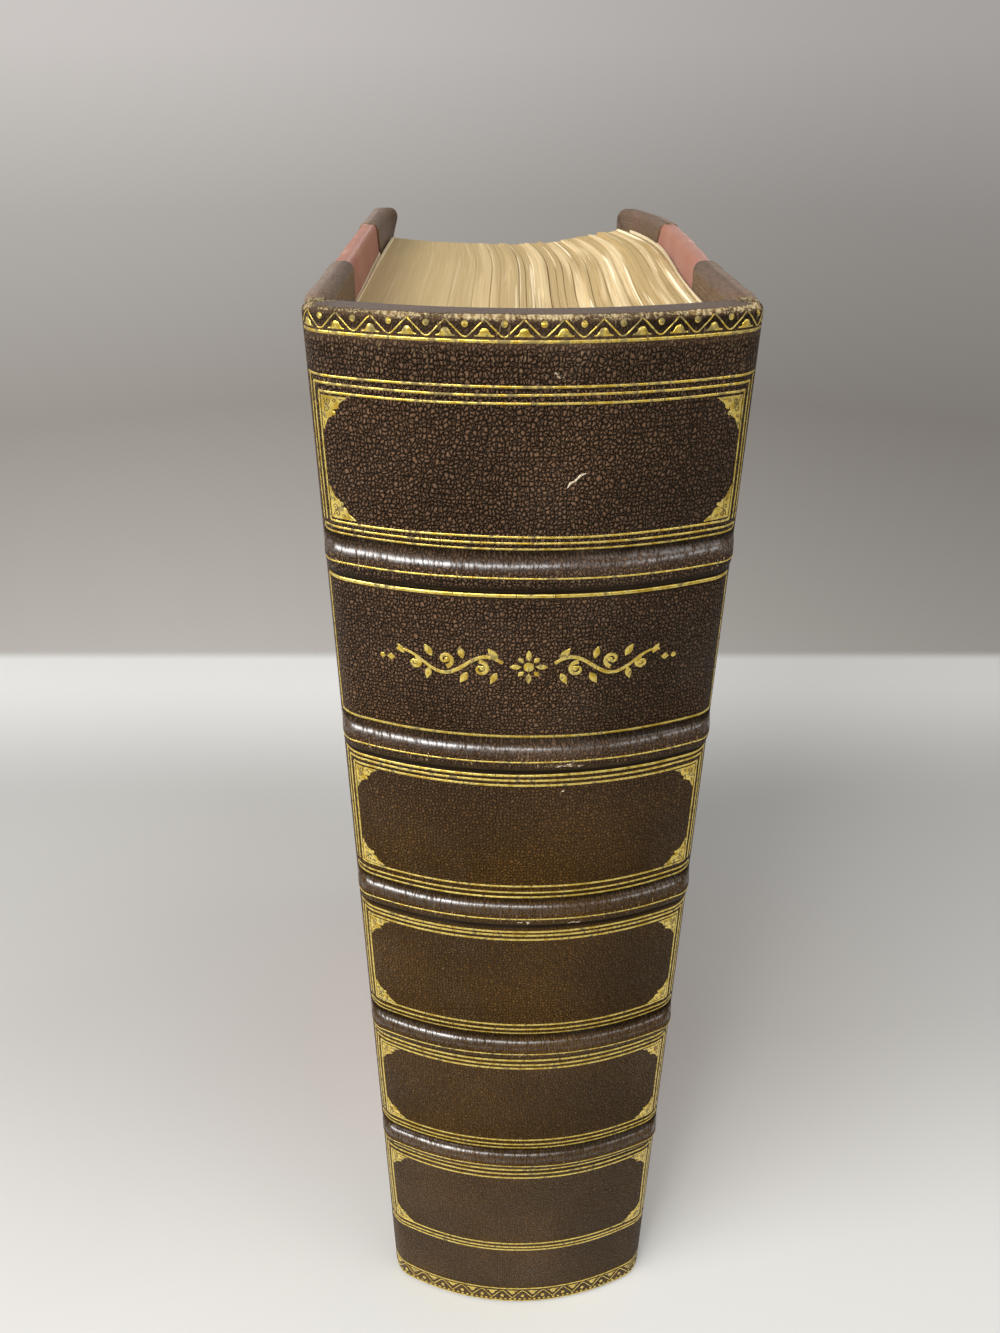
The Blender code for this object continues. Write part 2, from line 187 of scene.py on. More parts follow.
class Finish(Net):
    """The net of a new material with one Principled shader."""

    def __init__(self, name, roughness=0.5):
        self.material = bpy.data.materials.new(name)
        self.material.use_nodes = True
        super().__init__(self.material.node_tree)
        place = self.add("ShaderNodeTexCoord")
        self.where, self.uv = place["Object"], place["UV"]
        self.shade({"Roughness": roughness})

    def shade(self, values):
        """Gives the shader's inputs."""
        for key, value in values.items():
            self.feed(self.tree.nodes["Principled BSDF"].inputs[key], value)

    def bump(self, height, strength, distance):
        values = {"Height": height, "Strength": strength, "Distance": distance}
        self.shade({"Normal": self.add("ShaderNodeBump", values)[0]})

    def mark(self, name):
        """A mark that the piece carries at each vertex."""
        return self.add("ShaderNodeAttribute", attribute_name=name)["Fac"]


# %% [markdown]
# The room is a pale table that ends behind the book, and a grey wall that is only the
# world colour seen past the table's edge. Two long lamps on the left and in front stand
# for the window, which glints on the upper side of each raised band. Two weak ones on
# the right fill in. The world looks darker and lighter with height, as the wall does; that
# is painted light and shade, lighter on the left and dimmer behind the camera and overhead,
# which also dims what the leather reflects.
# The table's paint is paler near the wall and under the book's front, and darker nearer
# than the picture shows: this is painted light and shade. The table's end fades, as if out
# of focus.

# %% Table
scene.view_settings.view_transform = "Standard"

TABLE_FAR_EDGE = 0.276
table_mesh = bpy.data.meshes.new("table")
table_corners = [(-3, -3, 0), (3, -3, 0), (3, TABLE_FAR_EDGE, 0), (-3, TABLE_FAR_EDGE, 0)]
table_mesh.from_pydata(table_corners, [], [(0, 1, 2, 3)])
table = put_in_scene("table", table_mesh)
table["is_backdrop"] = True

net = Finish("pale_table", 0.55)
depth = net.split(net.where)["Y"]
clouds = net.ease(net.noise(net.where, 5.0), 0.35, 0.65, -0.08, 0.08)
# Painted light and shade: paler in front of the book and near the wall, darker towards the camera.
table_tone_and_light = net.plus(net.ease(depth, 0.03, -0.09), clouds)
table_tone_and_light = net.mix(table_tone_and_light, (0.50, 0.49, 0.465), (0.63, 0.62, 0.59))
table_tone_and_light = net.mix(net.ease(depth, 0.13, 0.245), table_tone_and_light, (0.79, 0.78, 0.75))
table_tone_and_light = net.mix(net.ease(depth, -0.10, -0.26), table_tone_and_light, (0.36, 0.35, 0.335))
fade = net.ease(depth, TABLE_FAR_EDGE - 0.013, TABLE_FAR_EDGE - 0.0005, 1.0, 0.0)
net.shade({"Base Color": table_tone_and_light, "Alpha": fade})
table_mesh.materials.append(net.material)

# %% Wall
# Painted light and shade on the wall: its brightness at each height.
WALL_SHADE_BY_HEIGHT = [
    (0.0, (0.46, 0.44, 0.41)),
    (0.11, (0.385, 0.36, 0.33)),
    (0.30, (0.265, 0.243, 0.222)),
    (0.47, (0.345, 0.328, 0.31)),
    (0.60, (0.475, 0.448, 0.43)),
    (1.0, (0.56, 0.53, 0.51)),
]
world = bpy.data.worlds.new("studio")
scene.world = world
world.use_nodes = True
world.node_tree.nodes.clear()
net = Net(world.node_tree)
towards = net.split(net.add("ShaderNodeTexCoord")["Generated"])
wall = net.add("ShaderNodeValToRGB", {0: net.plus(towards["Z"], 0.55)})["Color"]
elements = wall.node.color_ramp.elements
while len(elements) < len(WALL_SHADE_BY_HEIGHT):
    elements.new(0.5)
for element, (place, colour) in zip(elements, WALL_SHADE_BY_HEIGHT):
    element.position = place
    element.color = (*colour, 1.0)
# Painted light and shade: lighter to the left, dimmer behind the camera and overhead.
sideways = net.ease(towards["X"], -0.50, 0.50, 1.27, 0.78)
behind_us = net.ease(towards["Y"], -0.10, -0.70, 1.0, 0.42)
overhead = net.ease(towards["Z"], 0.30, 0.75, 1.0, 0.35)
wall = net.vector("SCALE", wall, net.times(sideways, net.times(behind_us, overhead)))
path = net.add("ShaderNodeLightPath")
seen = net.larger(path["Is Camera Ray"], path["Is Glossy Ray"])
seen = net.larger(seen, path["Is Transmission Ray"])
fill = net.add("ShaderNodeBackground", {"Color": (0.98, 0.99, 1.0), "Strength": 0.26})[0]
back = net.add("ShaderNodeBackground", {"Color": wall, "Strength": 1.0})[0]
both = net.add("ShaderNodeMixShader", {0: seen, 1: fill, 2: back})[0]
net.add("ShaderNodeOutputWorld", {0: both})

# %% Lamps
for name, place, width, height, power in (
    ("window_left", (-0.72, -0.66, 0.74), 1.00, 0.22, 15.0),
    ("window_front", (-0.20, -0.95, 0.80), 0.75, 0.12, 5.2),
    ("window_right", (0.74, -0.62, 0.72), 0.90, 0.10, 2.2),
    ("ceiling_right", (0.55, -0.10, 1.10), 0.60, 0.60, 3.2),
):
    data = bpy.data.lights.new(name, "AREA")
    data.shape = "RECTANGLE"
    data.size = width
    data.size_y = height
    data.energy = power
    lamp = put_in_scene(name, data)
    lamp.location = place
    to_book = Vector((0.0, 0.0, 0.15)) - lamp.location
    lamp.rotation_euler = to_book.to_track_quat("-Z", "Y").to_euler()
print("lamps", len(bpy.data.lights))

# %% [markdown]
# ## The book's measures
#
# These are the sizes that the CAD model was built from. The back is a shallow arc with a
# rounded shoulder at each end, and every gold line is placed by two numbers: how far
# it is round the back from the middle, and how high it is over the table.

# %% Sizes of the book
BOARD_HEIGHT = 0.250
BOARD_DEPTH = 0.1445
HALF = 0.033
SPINE_CROWN = 0.0058
CAP_WIDTH = 0.0058
SHOULDER_RADIUS = 0.0065
CAP_EDGE_RADIUS = 0.0013
SPINE_SKIN = 0.0009
FLAT_HALF = HALF - SHOULDER_RADIUS
JOINT_Y = SPINE_CROWN + SHOULDER_RADIUS
BACK_RADIUS = (JOINT_Y**2 + FLAT_HALF**2 - SHOULDER_RADIUS**2) / (2 * SPINE_CROWN)
QUARTER = math.pi / 2
SHOULDER_START = math.asin(FLAT_HALF / (BACK_RADIUS - SHOULDER_RADIUS))
FLAT_ARC = BACK_RADIUS * SHOULDER_START
BACK_HALF = FLAT_ARC + SHOULDER_RADIUS * (QUARTER - SHOULDER_START)
BAND_HEIGHT = 0.0020
BAND_FOOT = 0.0032
BANDS = [0.2127]
for spacing in (0.0340, 0.0364, 0.0388, 0.0393):
    BANDS.append(BANDS[-1] - spacing)
LIP = CAP_EDGE_RADIUS * QUARTER + CAP_WIDTH - CAP_EDGE_RADIUS
lowest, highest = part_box("spine_leather")
BOOK_X = (lowest.x + highest.x) / 2
BOOK_Y = lowest.y + BAND_HEIGHT
MM = 0.001
print("half the way round the back", round(BACK_HALF / MM, 2), "mm")


# %% Where a point of the back lies
def smooth(value):
    value = np.clip(value, 0.0, 1.0)
    return value * value * (3 - 2 * value)


def ripple(first, second, seed, pitch):
    """A gentle fixed unevenness between -1 and 1, the same at every run."""
    random = np.random.default_rng(seed)
    total = np.zeros(np.broadcast(first, second).shape)
    for k in range(6):
        turn = random.uniform(0, math.pi)
        length = pitch * random.uniform(0.6, 1.7)
        phase = random.uniform(0, 2 * math.pi)
        along = first * math.cos(turn) + second * math.sin(turn)
        total = total + np.sin(2 * math.pi * along / length + phase)
    return total / 6 * 1.6


def turn_at(u):
    """The way the back faces at this distance round it, 0 at the middle."""
    u = np.asarray(u, float)
    past = np.abs(u) - FLAT_ARC
    beyond = np.sign(u) * (SHOULDER_START + past / SHOULDER_RADIUS)
    return np.where(past <= 0, u / BACK_RADIUS, beyond)


def band_fade(u):
    return smooth((QUARTER - np.abs(turn_at(u))) / (QUARTER - SHOULDER_START))


def relief(u, h):
    """How far the leather stands out from the plain back: bands, creases, unevenness."""
    u, h = np.asarray(u, float), np.asarray(h, float)
    rise = np.zeros(np.broadcast(u, h).shape)
    for number, middle in enumerate(BANDS):
        sway = 0.00012 * ripple(u, 0 * u, 31 + number, 0.03)
        across = np.clip(np.abs(h - middle - sway) / BAND_FOOT, 0, 1)
        rise = rise + BAND_HEIGHT * (1 - across * across) ** 0.66
        crease = (np.abs(h - middle) - 0.0036) / 0.0006
        rise = rise - 0.00018 * np.exp(-(crease**2))
    inside = smooth((h - 0.004) / 0.006) * smooth((BOARD_HEIGHT - 0.004 - h) / 0.006)
    inside = inside * smooth((BACK_HALF - 0.0005 - np.abs(u)) / 0.004)
    uneven = 0.00007 * ripple(u, h, 7, 0.022) * inside
    return rise * band_fade(u) ** 1.4 + uneven


def skin(u, h, lift):
    """Points on the back's leather. Past its top and bottom, h runs on over the caps."""
    u, h, lift = (np.asarray(v, float) for v in (u, h, lift))
    turn = turn_at(u)
    past = np.abs(u) - FLAT_ARC
    centre_x = np.where(past <= 0, 0.0, np.sign(u) * FLAT_HALF)
    centre_y = np.where(past <= 0, BACK_RADIUS, JOINT_Y)
    radius = np.where(past <= 0, BACK_RADIUS, SHOULDER_RADIUS)
    over = h - (BOARD_HEIGHT - CAP_EDGE_RADIUS)
    under = CAP_EDGE_RADIUS - h
    extra = np.maximum(np.maximum(over, under), 0.0)
    way = np.where(over > under, 1.0, -1.0)
    bend = np.minimum(extra / CAP_EDGE_RADIUS, QUARTER)
    inset = CAP_EDGE_RADIUS * (1 - np.cos(bend)) + np.maximum(
        extra - CAP_EDGE_RADIUS * QUARTER, 0.0
    )
    level = np.clip(h, CAP_EDGE_RADIUS, BOARD_HEIGHT - CAP_EDGE_RADIUS)
    reach = radius - inset + lift * np.cos(bend)
    x = BOOK_X + centre_x + reach * np.sin(turn)
    y = BOOK_Y + centre_y - reach * np.cos(turn)
    z = level + way * np.sin(bend) * (CAP_EDGE_RADIUS + lift)
    return np.stack(np.broadcast_arrays(x, y, z), -1)


print("middle of the back at", skin(0, 0.12, 0).round(4))


# %% Making meshes from arrays
def new_piece(name, points, faces, material, uv, marks=None):
    """An object from vertices and faces, with a UV for each vertex and named marks."""
    mesh = bpy.data.meshes.new(name)
    faces = faces.tolist() if isinstance(faces, np.ndarray) else faces
    mesh.from_pydata(np.reshape(points, (-1, 3)).tolist(), [], faces)
    order = np.zeros(len(mesh.loops), int)
    mesh.loops.foreach_get("vertex_index", order)
    layer = mesh.uv_layers.new(name="UVMap")
    layer.data.foreach_set("uv", np.reshape(uv, (-1, 2))[order].ravel())
    for mark, values in (marks or {}).items():
        made = mesh.attributes.new(mark, "FLOAT", "POINT")
        made.data.foreach_set("value", np.ravel(values) * np.ones(len(mesh.vertices)))
    mesh.shade_smooth()
    mesh.materials.append(material)
    return put_in_scene(name, mesh)


def grid_faces(rows, columns, flip=False, first=0):
    """Quads of a grid whose vertices are stored row after row."""
    r, c = np.meshgrid(np.arange(rows - 1), np.arange(columns - 1), indexing="ij")
    corner = first + r * columns + c
    quads = [corner, corner + 1, corner + columns + 1, corner + columns]
    if flip:
        quads.reverse()
    return np.stack(quads, -1).reshape(-1, 4)


def together(*parts):
    """Arrays of one shape each, as the coordinates of one array of points."""
    return np.stack(np.broadcast_arrays(*parts), -1)


def lengths_along(path):
    """How far each point of a path is from its start."""
    return np.r_[0, np.cumsum(np.hypot(*np.diff(path, axis=0).T))]


def give_thickness(piece, amount, offset=-1.0):
    shell = piece.modifiers.new("thickness", "SOLIDIFY")
    shell.thickness = amount
    shell.offset = offset


def move_points(piece, rule):
    """Moves all vertices by a rule that takes and gives an array of points."""
    place = np.zeros(len(piece.data.vertices) * 3)
    piece.data.vertices.foreach_get("co", place)
    piece.data.vertices.foreach_set("co", rule(place.reshape(-1, 3)).ravel())
    piece.data.update()


# %% [markdown]
# ## Shared surface effects
#
# Each effect that several finishes need is one node group, placed in each material with
# its own values: the pebbled grain of morocco, rubbed edges, old dust, woven cloth and
# paper fibre. They put out only masks, heights and tones, and the shader stays outside.


# %% A new group with named sockets
def new_group(name, inputs, outputs, kind="Shader"):
    """A node group's net and ends. An input is a default number or a kind of socket."""
    group = bpy.data.node_groups.new(name, kind + "NodeTree")
    for label, value in inputs.items():
        socket = "NodeSocket" + (value if isinstance(value, str) else "Float")
        made = group.interface.new_socket(label, in_out="INPUT", socket_type=socket)
        if not isinstance(value, str):
            made.default_value = value
    result = "NodeSocketFloat" if kind == "Shader" else "NodeSocketGeometry"
    for label in outputs:
        group.interface.new_socket(label, in_out="OUTPUT", socket_type=result)
    made = Net(group)
    return made, made.add("NodeGroupInput"), group.nodes.new("NodeGroupOutput").inputs


# %% [markdown]
# Morocco is goatskin, boarded by hand until its grain stands up in small pebbles with
# creases between them. A Voronoi texture gives the distance to the nearest cell edge,
# and each pebble falls ever more steeply towards it. A second, larger one breaks the
# evenness. The crease mask darkens the colour towards each pebble's edge: painted shade.
# Where the finisher's hot tools pressed the skin, beside the bands and under the rolls,
# the grain is flattened.

# %% Grain group
grain, given, out = new_group(
    "morocco_grain",
    {"Vector": "Vector", "Scale": 1000.0, "Smoothed": 0.0},
    ("Height", "Crease Shade", "Patches"),
)
shift = grain.noise(given["Vector"], 760.0, 3.0, flat=True, output="Color")
shift = grain.vector("SCALE", grain.vector("SUBTRACT", shift, (0.5, 0.5, 0.5)), 0.0010)
bent_place = grain.vector("ADD", given["Vector"], shift)
stretched = grain.vector("MULTIPLY", bent_place, (1.10, 0.92, 1.0))


def pebbles(scale, randomness, reach):
    """1 on a pebble's top, falling ever more steeply to 0 in the crease."""
    values = {"Vector": stretched, "Scale": scale, "Randomness": randomness}
    settings = {"voronoi_dimensions": "2D", "feature": "DISTANCE_TO_EDGE"}
    distance = grain.add("ShaderNodeTexVoronoi", values, **settings)["Distance"]
    short = grain.minus(1.0, grain.times(distance, 1 / reach), clamp=True)
    return grain.minus(1.0, grain.times(short, short))


small = pebbles(given["Scale"], 0.74, 0.44)
large = pebbles(grain.times(given["Scale"], 0.40), 1.0, 0.16)
pores = grain.noise(given["Vector"], 2600.0, 3.0, flat=True)
height = grain.plus(grain.times(small, 0.78), grain.times(large, 0.42))
height = grain.plus(height, grain.times(pores, 0.26))
keep = grain.minus(1.0, given["Smoothed"], clamp=True)
# Painted shade: the crease mask grows towards each pebble's edge, like shade in a hollow.
hollow = grain.minus(1.12, grain.times(small, 1.12))
crease = grain.larger(hollow, grain.minus(1.0, large), clamp=True)
grain.feed(out["Height"], grain.times(height, keep))
grain.feed(out["Crease Shade"], grain.times(crease, keep))
grain.feed(out["Patches"], grain.noise(given["Vector"], 42.0, 4.0))

# %% [markdown]
# Rubbed edges show the tan leather under the dye. Every piece carries a mark that says
# how much it was handled there, and noise breaks that mark into flecks. Fine upright
# cracks appear where the skin was strained, and drawn-out streaks where it was polished.

# %% Rubbing group
rubbing, given, out = new_group(
    "rubbed_edges",
    {"Vector": "Vector", "Rub": 0.0, "Fleck Scale": 1300.0},
    ("Mask", "Cracks", "Streaks"),
)
flecks = rubbing.noise(given["Vector"], given["Fleck Scale"], 5.0, 0.65)
drift = rubbing.noise(given["Vector"], 120.0, 3.0)
level = rubbing.plus(rubbing.times(flecks, 0.60), rubbing.times(drift, 0.40))
level = rubbing.plus(level, rubbing.times(given["Rub"], 0.55))
rubbing.feed(out["Mask"], rubbing.ease(level, 0.70, 0.84))
for label, squeeze, detail, low, high in (
    ("Cracks", (2900.0, 900.0, 480.0), 2.0, 0.63, 0.69),
    ("Streaks", (2300.0, 700.0, 620.0), 3.0, 0.36, 0.62),
):
    squeezed = rubbing.vector("MULTIPLY", given["Vector"], squeeze)
    rubbing.feed(out[label], rubbing.ease(rubbing.noise(squeezed, 1.0, detail), low, high))

# %% Dust group
dust, given, out = new_group("old_dust", {"Vector": "Vector", "Amount": 0.5}, ("Mask", "Tone"))
haze = dust.noise(given["Vector"], 60.0, 5.0)
specks = dust.add("ShaderNodeTexVoronoi", {"Vector": given["Vector"], "Scale": 260.0})
specks = dust.ease(specks["Distance"], 0.07, 0.04)
specks = dust.times(specks, dust.ease(dust.noise(given["Vector"], 200.0), 0.60, 0.66))
dull = dust.larger(specks, dust.times(dust.ease(haze, 0.48, 0.75), 0.18))
dust.feed(out["Mask"], dust.times(dull, given["Amount"]))
dust.feed(out["Tone"], haze)

# %% [markdown]
# Book cloth is a plain weave filled with starch. Two sets of waves along the cloth's own
# UV map cross each other, and a slower noise thickens some threads. Paper shows short
# fibres and brown spots, so it takes a fine noise and a spotty one.

# %% Weave group
weave, given, out = new_group(
    "book_cloth_weave", {"Vector": "Vector", "Threads": 2600.0}, ("Height", "Tone")
)
sides = weave.split(given["Vector"])
slubs = weave.noise(given["Vector"], 350.0, 3.0)
wobble = weave.times(slubs, 1.6)
turns = weave.times(given["Threads"], 2 * math.pi)
waves = [weave.calc("SINE", weave.plus(weave.times(sides[k], turns), wobble)) for k in "XY"]
crossed = weave.plus(weave.times(weave.times(*waves), 0.5), 0.5)
weave.feed(out["Height"], weave.plus(crossed, weave.times(slubs, 0.5)))
weave.feed(out["Tone"], slubs)

# %% Paper group
fibre, given, out = new_group(
    "paper_fibre", {"Vector": "Vector", "Foxing": 0.5}, ("Height", "Spots", "Tone")
)
spots = fibre.ease(fibre.noise(given["Vector"], 90.0, 3.0), 0.66, 0.78)
fibre.feed(out["Height"], fibre.noise(given["Vector"], 1800.0, 4.0))
fibre.feed(out["Spots"], fibre.times(spots, given["Foxing"]))
fibre.feed(out["Tone"], fibre.noise(given["Vector"], 18.0, 5.0))
print("shared groups", [g.name for g in bpy.data.node_groups])


# %% [markdown]
# ## Finishes
#
# Each finish mixes its colour in layers, from the clean surface to the wear and the dust
# on top. Numbers that are the same everywhere go straight on the shader.


# %% Leather
def make_leather(name, brown, low_brown, dark, scale, depth, gloss):
    """Morocco that turns from one brown to another towards the tail of the book."""
    net = Finish(name)
    polish, shine, shade_and_grime = (net.mark(mark) for mark in ("polish", "shine", "shade_and_grime"))
    skin_grain = net.placed(grain, Vector=net.uv, Scale=scale, Smoothed=polish)
    rubbed = net.placed(rubbing, Vector=net.where, Rub=net.mark("rub"), Fleck_Scale=2300.0)
    dusty = net.placed(dust, Vector=net.where, Amount=0.16)
    level = net.split(net.where)["Z"]
    colour = net.mix(net.ease(level, 0.20, 0.15), brown, low_brown)
    lighter = net.mix(1.0, colour, (1.45, 1.42, 1.35), "MULTIPLY")
    colour = net.mix(net.ease(skin_grain["Patches"], 0.36, 0.68), colour, lighter)
    # Painted shade in the grain's creases, nearly black, weaker towards the tail.
    sunk = net.ease(level, 0.195, 0.150, 1.0, 0.50)
    colour = net.mix(net.times(skin_grain["Crease Shade"], sunk), colour, dark)
    colour = net.mix(net.times(polish, 0.45), colour, dark)
    # Painted shade, with some grime: this mark darkens beside the bands, towards the right of the back and
    # on turned-in leather.
    colour = net.mix(shade_and_grime, colour, dark)
    strained = net.times(rubbed["Cracks"], net.mark("strain"))
    colour = net.mix(strained, colour, (0.42, 0.29, 0.15))
    tan = net.mix(rubbed["Streaks"], (0.20, 0.125, 0.050), (0.50, 0.39, 0.215))
    colour = net.mix(rubbed["Mask"], colour, tan)
    colour = net.mix(dusty["Mask"], colour, (0.40, 0.35, 0.30))
    bare = net.larger(rubbed["Mask"], strained)
    rough = net.plus(0.28, net.times(skin_grain["Crease Shade"], 0.20))
    rough = net.plus(rough, net.times(shade_and_grime, 0.35))
    rough = net.plus(rough, net.times(bare, 0.35), clamp=True)
    coat = net.times(shine, net.plus(0.12, rubbed["Streaks"]), clamp=True)
    net.shade({"Base Color": colour, "Roughness": rough, "Coat Weight": coat})
    net.shade({"Specular IOR Level": gloss, "Specular Tint": (1.0, 0.77, 0.50)})
    net.shade({"Coat Roughness": 0.26, "Coat IOR": 1.75})
    height = net.plus(skin_grain["Height"], net.times(rubbed["Streaks"], net.times(shine, 0.35)))
    net.bump(net.minus(height, net.times(bare, 0.35)), 1.0, depth)
    return net.material


spine_morocco = make_leather(
    "spine_morocco",
    brown=(0.110, 0.0620, 0.0360),
    low_brown=(0.078, 0.0365, 0.0070),
    dark=(0.0010, 0.0004, 0.0002),
    scale=1480.0,
    depth=0.00062,
    gloss=0.15,
)
# The boards' leather is the back's skin painted paler: partly painted sheen, for the light that its upward
# faces catch.
cover_morocco = make_leather(
    "cover_morocco",
    brown=(0.265, 0.165, 0.108),
    low_brown=(0.190, 0.105, 0.058),
    dark=(0.022, 0.013, 0.008),
    scale=1330.0,
    depth=0.00024,
    gloss=0.24,
)

# %% [markdown]
# Gold leaf is metal, but an old line of it is broken: it cracks across where the back
# flexed, and wears through to brown size on the high spots. A mask mixes gold and brown
# in colour, roughness and metallic. The line's own UV map says where its edges are.

# %% Gold leaf
net = Finish("gold_leaf")
worn = net.placed(rubbing, Vector=net.where, Rub=0.0, Fleck_Scale=1500.0)
wear = net.noise(net.where, 700.0, 4.0)
level = net.split(net.where)["Z"]
broken = net.plus(wear, net.ease(level, 0.2360, 0.2385, 0.0, 0.055))
lost = net.ease(broken, 0.53, 0.66, 0.0, 0.80)
rim_wear = net.plus(wear, net.ease(level, 0.2476, 0.2497, 0.0, 0.16))
lost = net.larger(lost, net.ease(rim_wear, 0.56, 0.66, 0.0, 0.85))
off_middle = net.calc("ABSOLUTE", net.minus(net.split(net.uv)["Y"], 0.5))
lost = net.larger(lost, net.times(net.ease(off_middle, 0.36, 0.5), 0.85))
lost = net.larger(lost, net.times(worn["Cracks"], 0.9))
gold = net.mix(net.ease(wear, 0.35, 0.62), (0.52, 0.345, 0.040), (0.84, 0.655, 0.17))
net.shade(
    {
        "Base Color": net.mix(lost, gold, (0.070, 0.044, 0.010)),
        "Metallic": net.minus(0.72, net.times(lost, 0.72), clamp=True),
        "Roughness": net.plus(0.30, net.times(lost, 0.35)),
    }
)
net.bump(wear, 0.35, 0.00008)
gold_leaf = net.material

# %% Dark lines pressed into the gold
net = Finish("pressed_line", 0.55)
lines = net.noise(net.where, 900.0)
net.shade({"Base Color": net.mix(lines, (0.030, 0.018, 0.006), (0.12, 0.075, 0.02))})
pressed_line = net.material

# %% Salmon cloth
net = Finish("salmon_cloth", 0.78)
woven = net.placed(weave, Vector=net.uv, Threads=2100.0)
rubbed = net.placed(rubbing, Vector=net.where, Rub=net.mark("rub"))
dusty = net.placed(dust, Vector=net.where, Amount=0.5)
colour = net.mix(woven["Tone"], (0.325, 0.079, 0.022), (0.42, 0.124, 0.038))
colour = net.mix(net.times(woven["Height"], 0.5), (0.27, 0.085, 0.050), colour)
faded = net.times(net.ease(dusty["Tone"], 0.40, 0.70), 0.26)
colour = net.mix(faded, colour, (0.44, 0.19, 0.100))
colour = net.mix(rubbed["Mask"], colour, (0.62, 0.46, 0.34))
colour = net.mix(net.times(dusty["Mask"], 0.5), colour, (0.5, 0.4, 0.32))
net.shade({"Base Color": colour, "Sheen Weight": 0.15, "Sheen Roughness": 0.5})
net.bump(woven["Height"], 0.5, 0.00006)
salmon_cloth = net.material

# %% [markdown]
# The edges of the leaves are the book's most telling surface. The UV map runs across the
# leaves in U and along them in V, so a noise squeezed hard in U draws thousands of paper
# edges: thin bright ones that stand proud, painted lighter as lit edges, and thin dark gaps
# between gatherings, which are painted shade. They show on the open side, and hardly
# where the leaves lie close.

# %% Page edges
net = Finish("page_edges", 0.74)
uv = net.split(net.uv)


def leaf_noise(across, along, detail):
    """A noise with this many grains per metre across the leaves and along them."""
    squeezed = {0: net.times(uv["X"], across), 1: net.times(uv["Y"], along)}
    squeezed = net.add("ShaderNodeCombineXYZ", squeezed)[0]
    return net.noise(squeezed, 1.0, detail, 0.6, flat=True)


leaves = leaf_noise(4200.0, 22.0, 3.0)
groups = leaf_noise(330.0, 7.0, 2.0)
gaps = leaf_noise(900.0, 9.0, 2.0)
hairs = leaf_noise(2300.0, 14.0, 2.0)
open_side = net.ease(uv["X"], 0.012, 0.050)
close_side = net.mix(leaves, (0.385, 0.270, 0.118), (0.515, 0.380, 0.182))
loose_side = net.mix(leaves, (0.440, 0.302, 0.124), (0.575, 0.412, 0.180))
colour = net.mix(open_side, close_side, loose_side)
# Painted light: leaves that stand proud are painted lighter, as if lit.
for source, low, high, least, most, paint in (
    (groups, 0.50, 0.66, 0.08, 0.85, (0.80, 0.62, 0.34)),
    (gaps, 0.64, 0.69, 0.08, 1.0, (1.0, 0.86, 0.60)),
    (hairs, 0.68, 0.74, 0.10, 0.8, (0.95, 0.78, 0.50)),
):
    lit = net.times(net.ease(source, low, high), net.plus(least, open_side))
    colour = net.mix(net.calc("MINIMUM", lit, most), colour, paint)
# Painted shade in the gaps between leaves.
shade = net.times(net.ease(hairs, 0.34, 0.27), net.plus(0.06, open_side))
colour = net.mix(net.times(shade, 0.4, clamp=True), colour, (0.26, 0.17, 0.07))
dusty = net.placed(dust, Vector=net.where, Amount=0.5)
net.shade({"Base Color": net.mix(dusty["Mask"], colour, (0.30, 0.22, 0.12))})
ridges = net.times(net.plus(net.times(leaves, 0.6), hairs), net.plus(0.25, open_side))
net.bump(ridges, 0.6, 0.00022)
page_edges = net.material


# %% Papers, board and silk
def make_paper(name, light, deep, foxing):
    net = Finish(name, 0.82)
    fibres = net.placed(fibre, Vector=net.where, Foxing=foxing)
    colour = net.mix(net.ease(fibres["Tone"], 0.35, 0.65), deep, light)
    net.shade({"Base Color": net.mix(fibres["Spots"], colour, (0.30, 0.17, 0.07))})
    net.bump(fibres["Height"], 0.25, 0.00005)
    return net.material


def make_silk(name, light, deep):
    net = Finish(name)
    strands = net.noise(net.where, 5000.0)
    net.shade({"Base Color": net.mix(strands, deep, light), "Sheen Weight": 0.4})
    net.bump(strands, 0.3, 0.00004)
    return net.material


end_paper = make_paper("end_paper", (0.63, 0.51, 0.33), (0.56, 0.445, 0.275), 0.6)
leaf_paper = make_paper("leaf_paper", (0.76, 0.63, 0.40), (0.67, 0.54, 0.33), 0.4)
grey_board = make_paper("grey_board", (0.36, 0.29, 0.20), (0.24, 0.19, 0.13), 0.3)
hollow_paper = make_paper("hollow_paper", (0.50, 0.40, 0.27), (0.38, 0.29, 0.18), 0.5)
gold_silk = make_silk("gold_silk", (0.55, 0.40, 0.16), (0.36, 0.24, 0.08))
dark_silk = make_silk("dark_silk", (0.26, 0.06, 0.04), (0.13, 0.03, 0.02))
print("finishes", len(bpy.data.materials))

# %% [markdown]
# ## The leather of the back
#
# One damp skin was drawn over the hollow back, nipped in beside five cords, and folded
# over at head and tail into caps. A modelled sheet would need sculpting, but here the
# shape is a rule, so a fine grid is laid over the rule instead: close rows where the
# bands are, wide rows between. Each vertex gets five marks: where it is polished flat,
# shiny, rubbed bare, strained, and darkened by painted shade with some grime.


# %% Rows of the grid
def leather_rows():
    edge = CAP_EDGE_RADIUS
    turn = list(np.linspace(edge - edge * QUARTER, edge, 8))
    rows = list(np.linspace(edge - LIP, turn[0], 5))[:-1] + turn
    while rows[-1] < BOARD_HEIGHT - edge - 0.0016:
        gap = min(abs(rows[-1] - middle) for middle in BANDS)
        rows.append(rows[-1] + (0.00033 if gap < 0.0052 else 0.0015))
    rest = [BOARD_HEIGHT - h for h in reversed(rows[:12])]
    return np.array(rows + rest)


columns = np.linspace(-BACK_HALF, BACK_HALF, 148)
rows = leather_rows()
U, H = np.meshgrid(columns, rows)
print("grid", len(rows), "rows by", len(columns), "columns")

# %% [markdown]
# Each mark is a sum of soft steps and blots. They are placed by u, the way round the
# back, by the height H over the table, or by the height over the nearest band's middle.

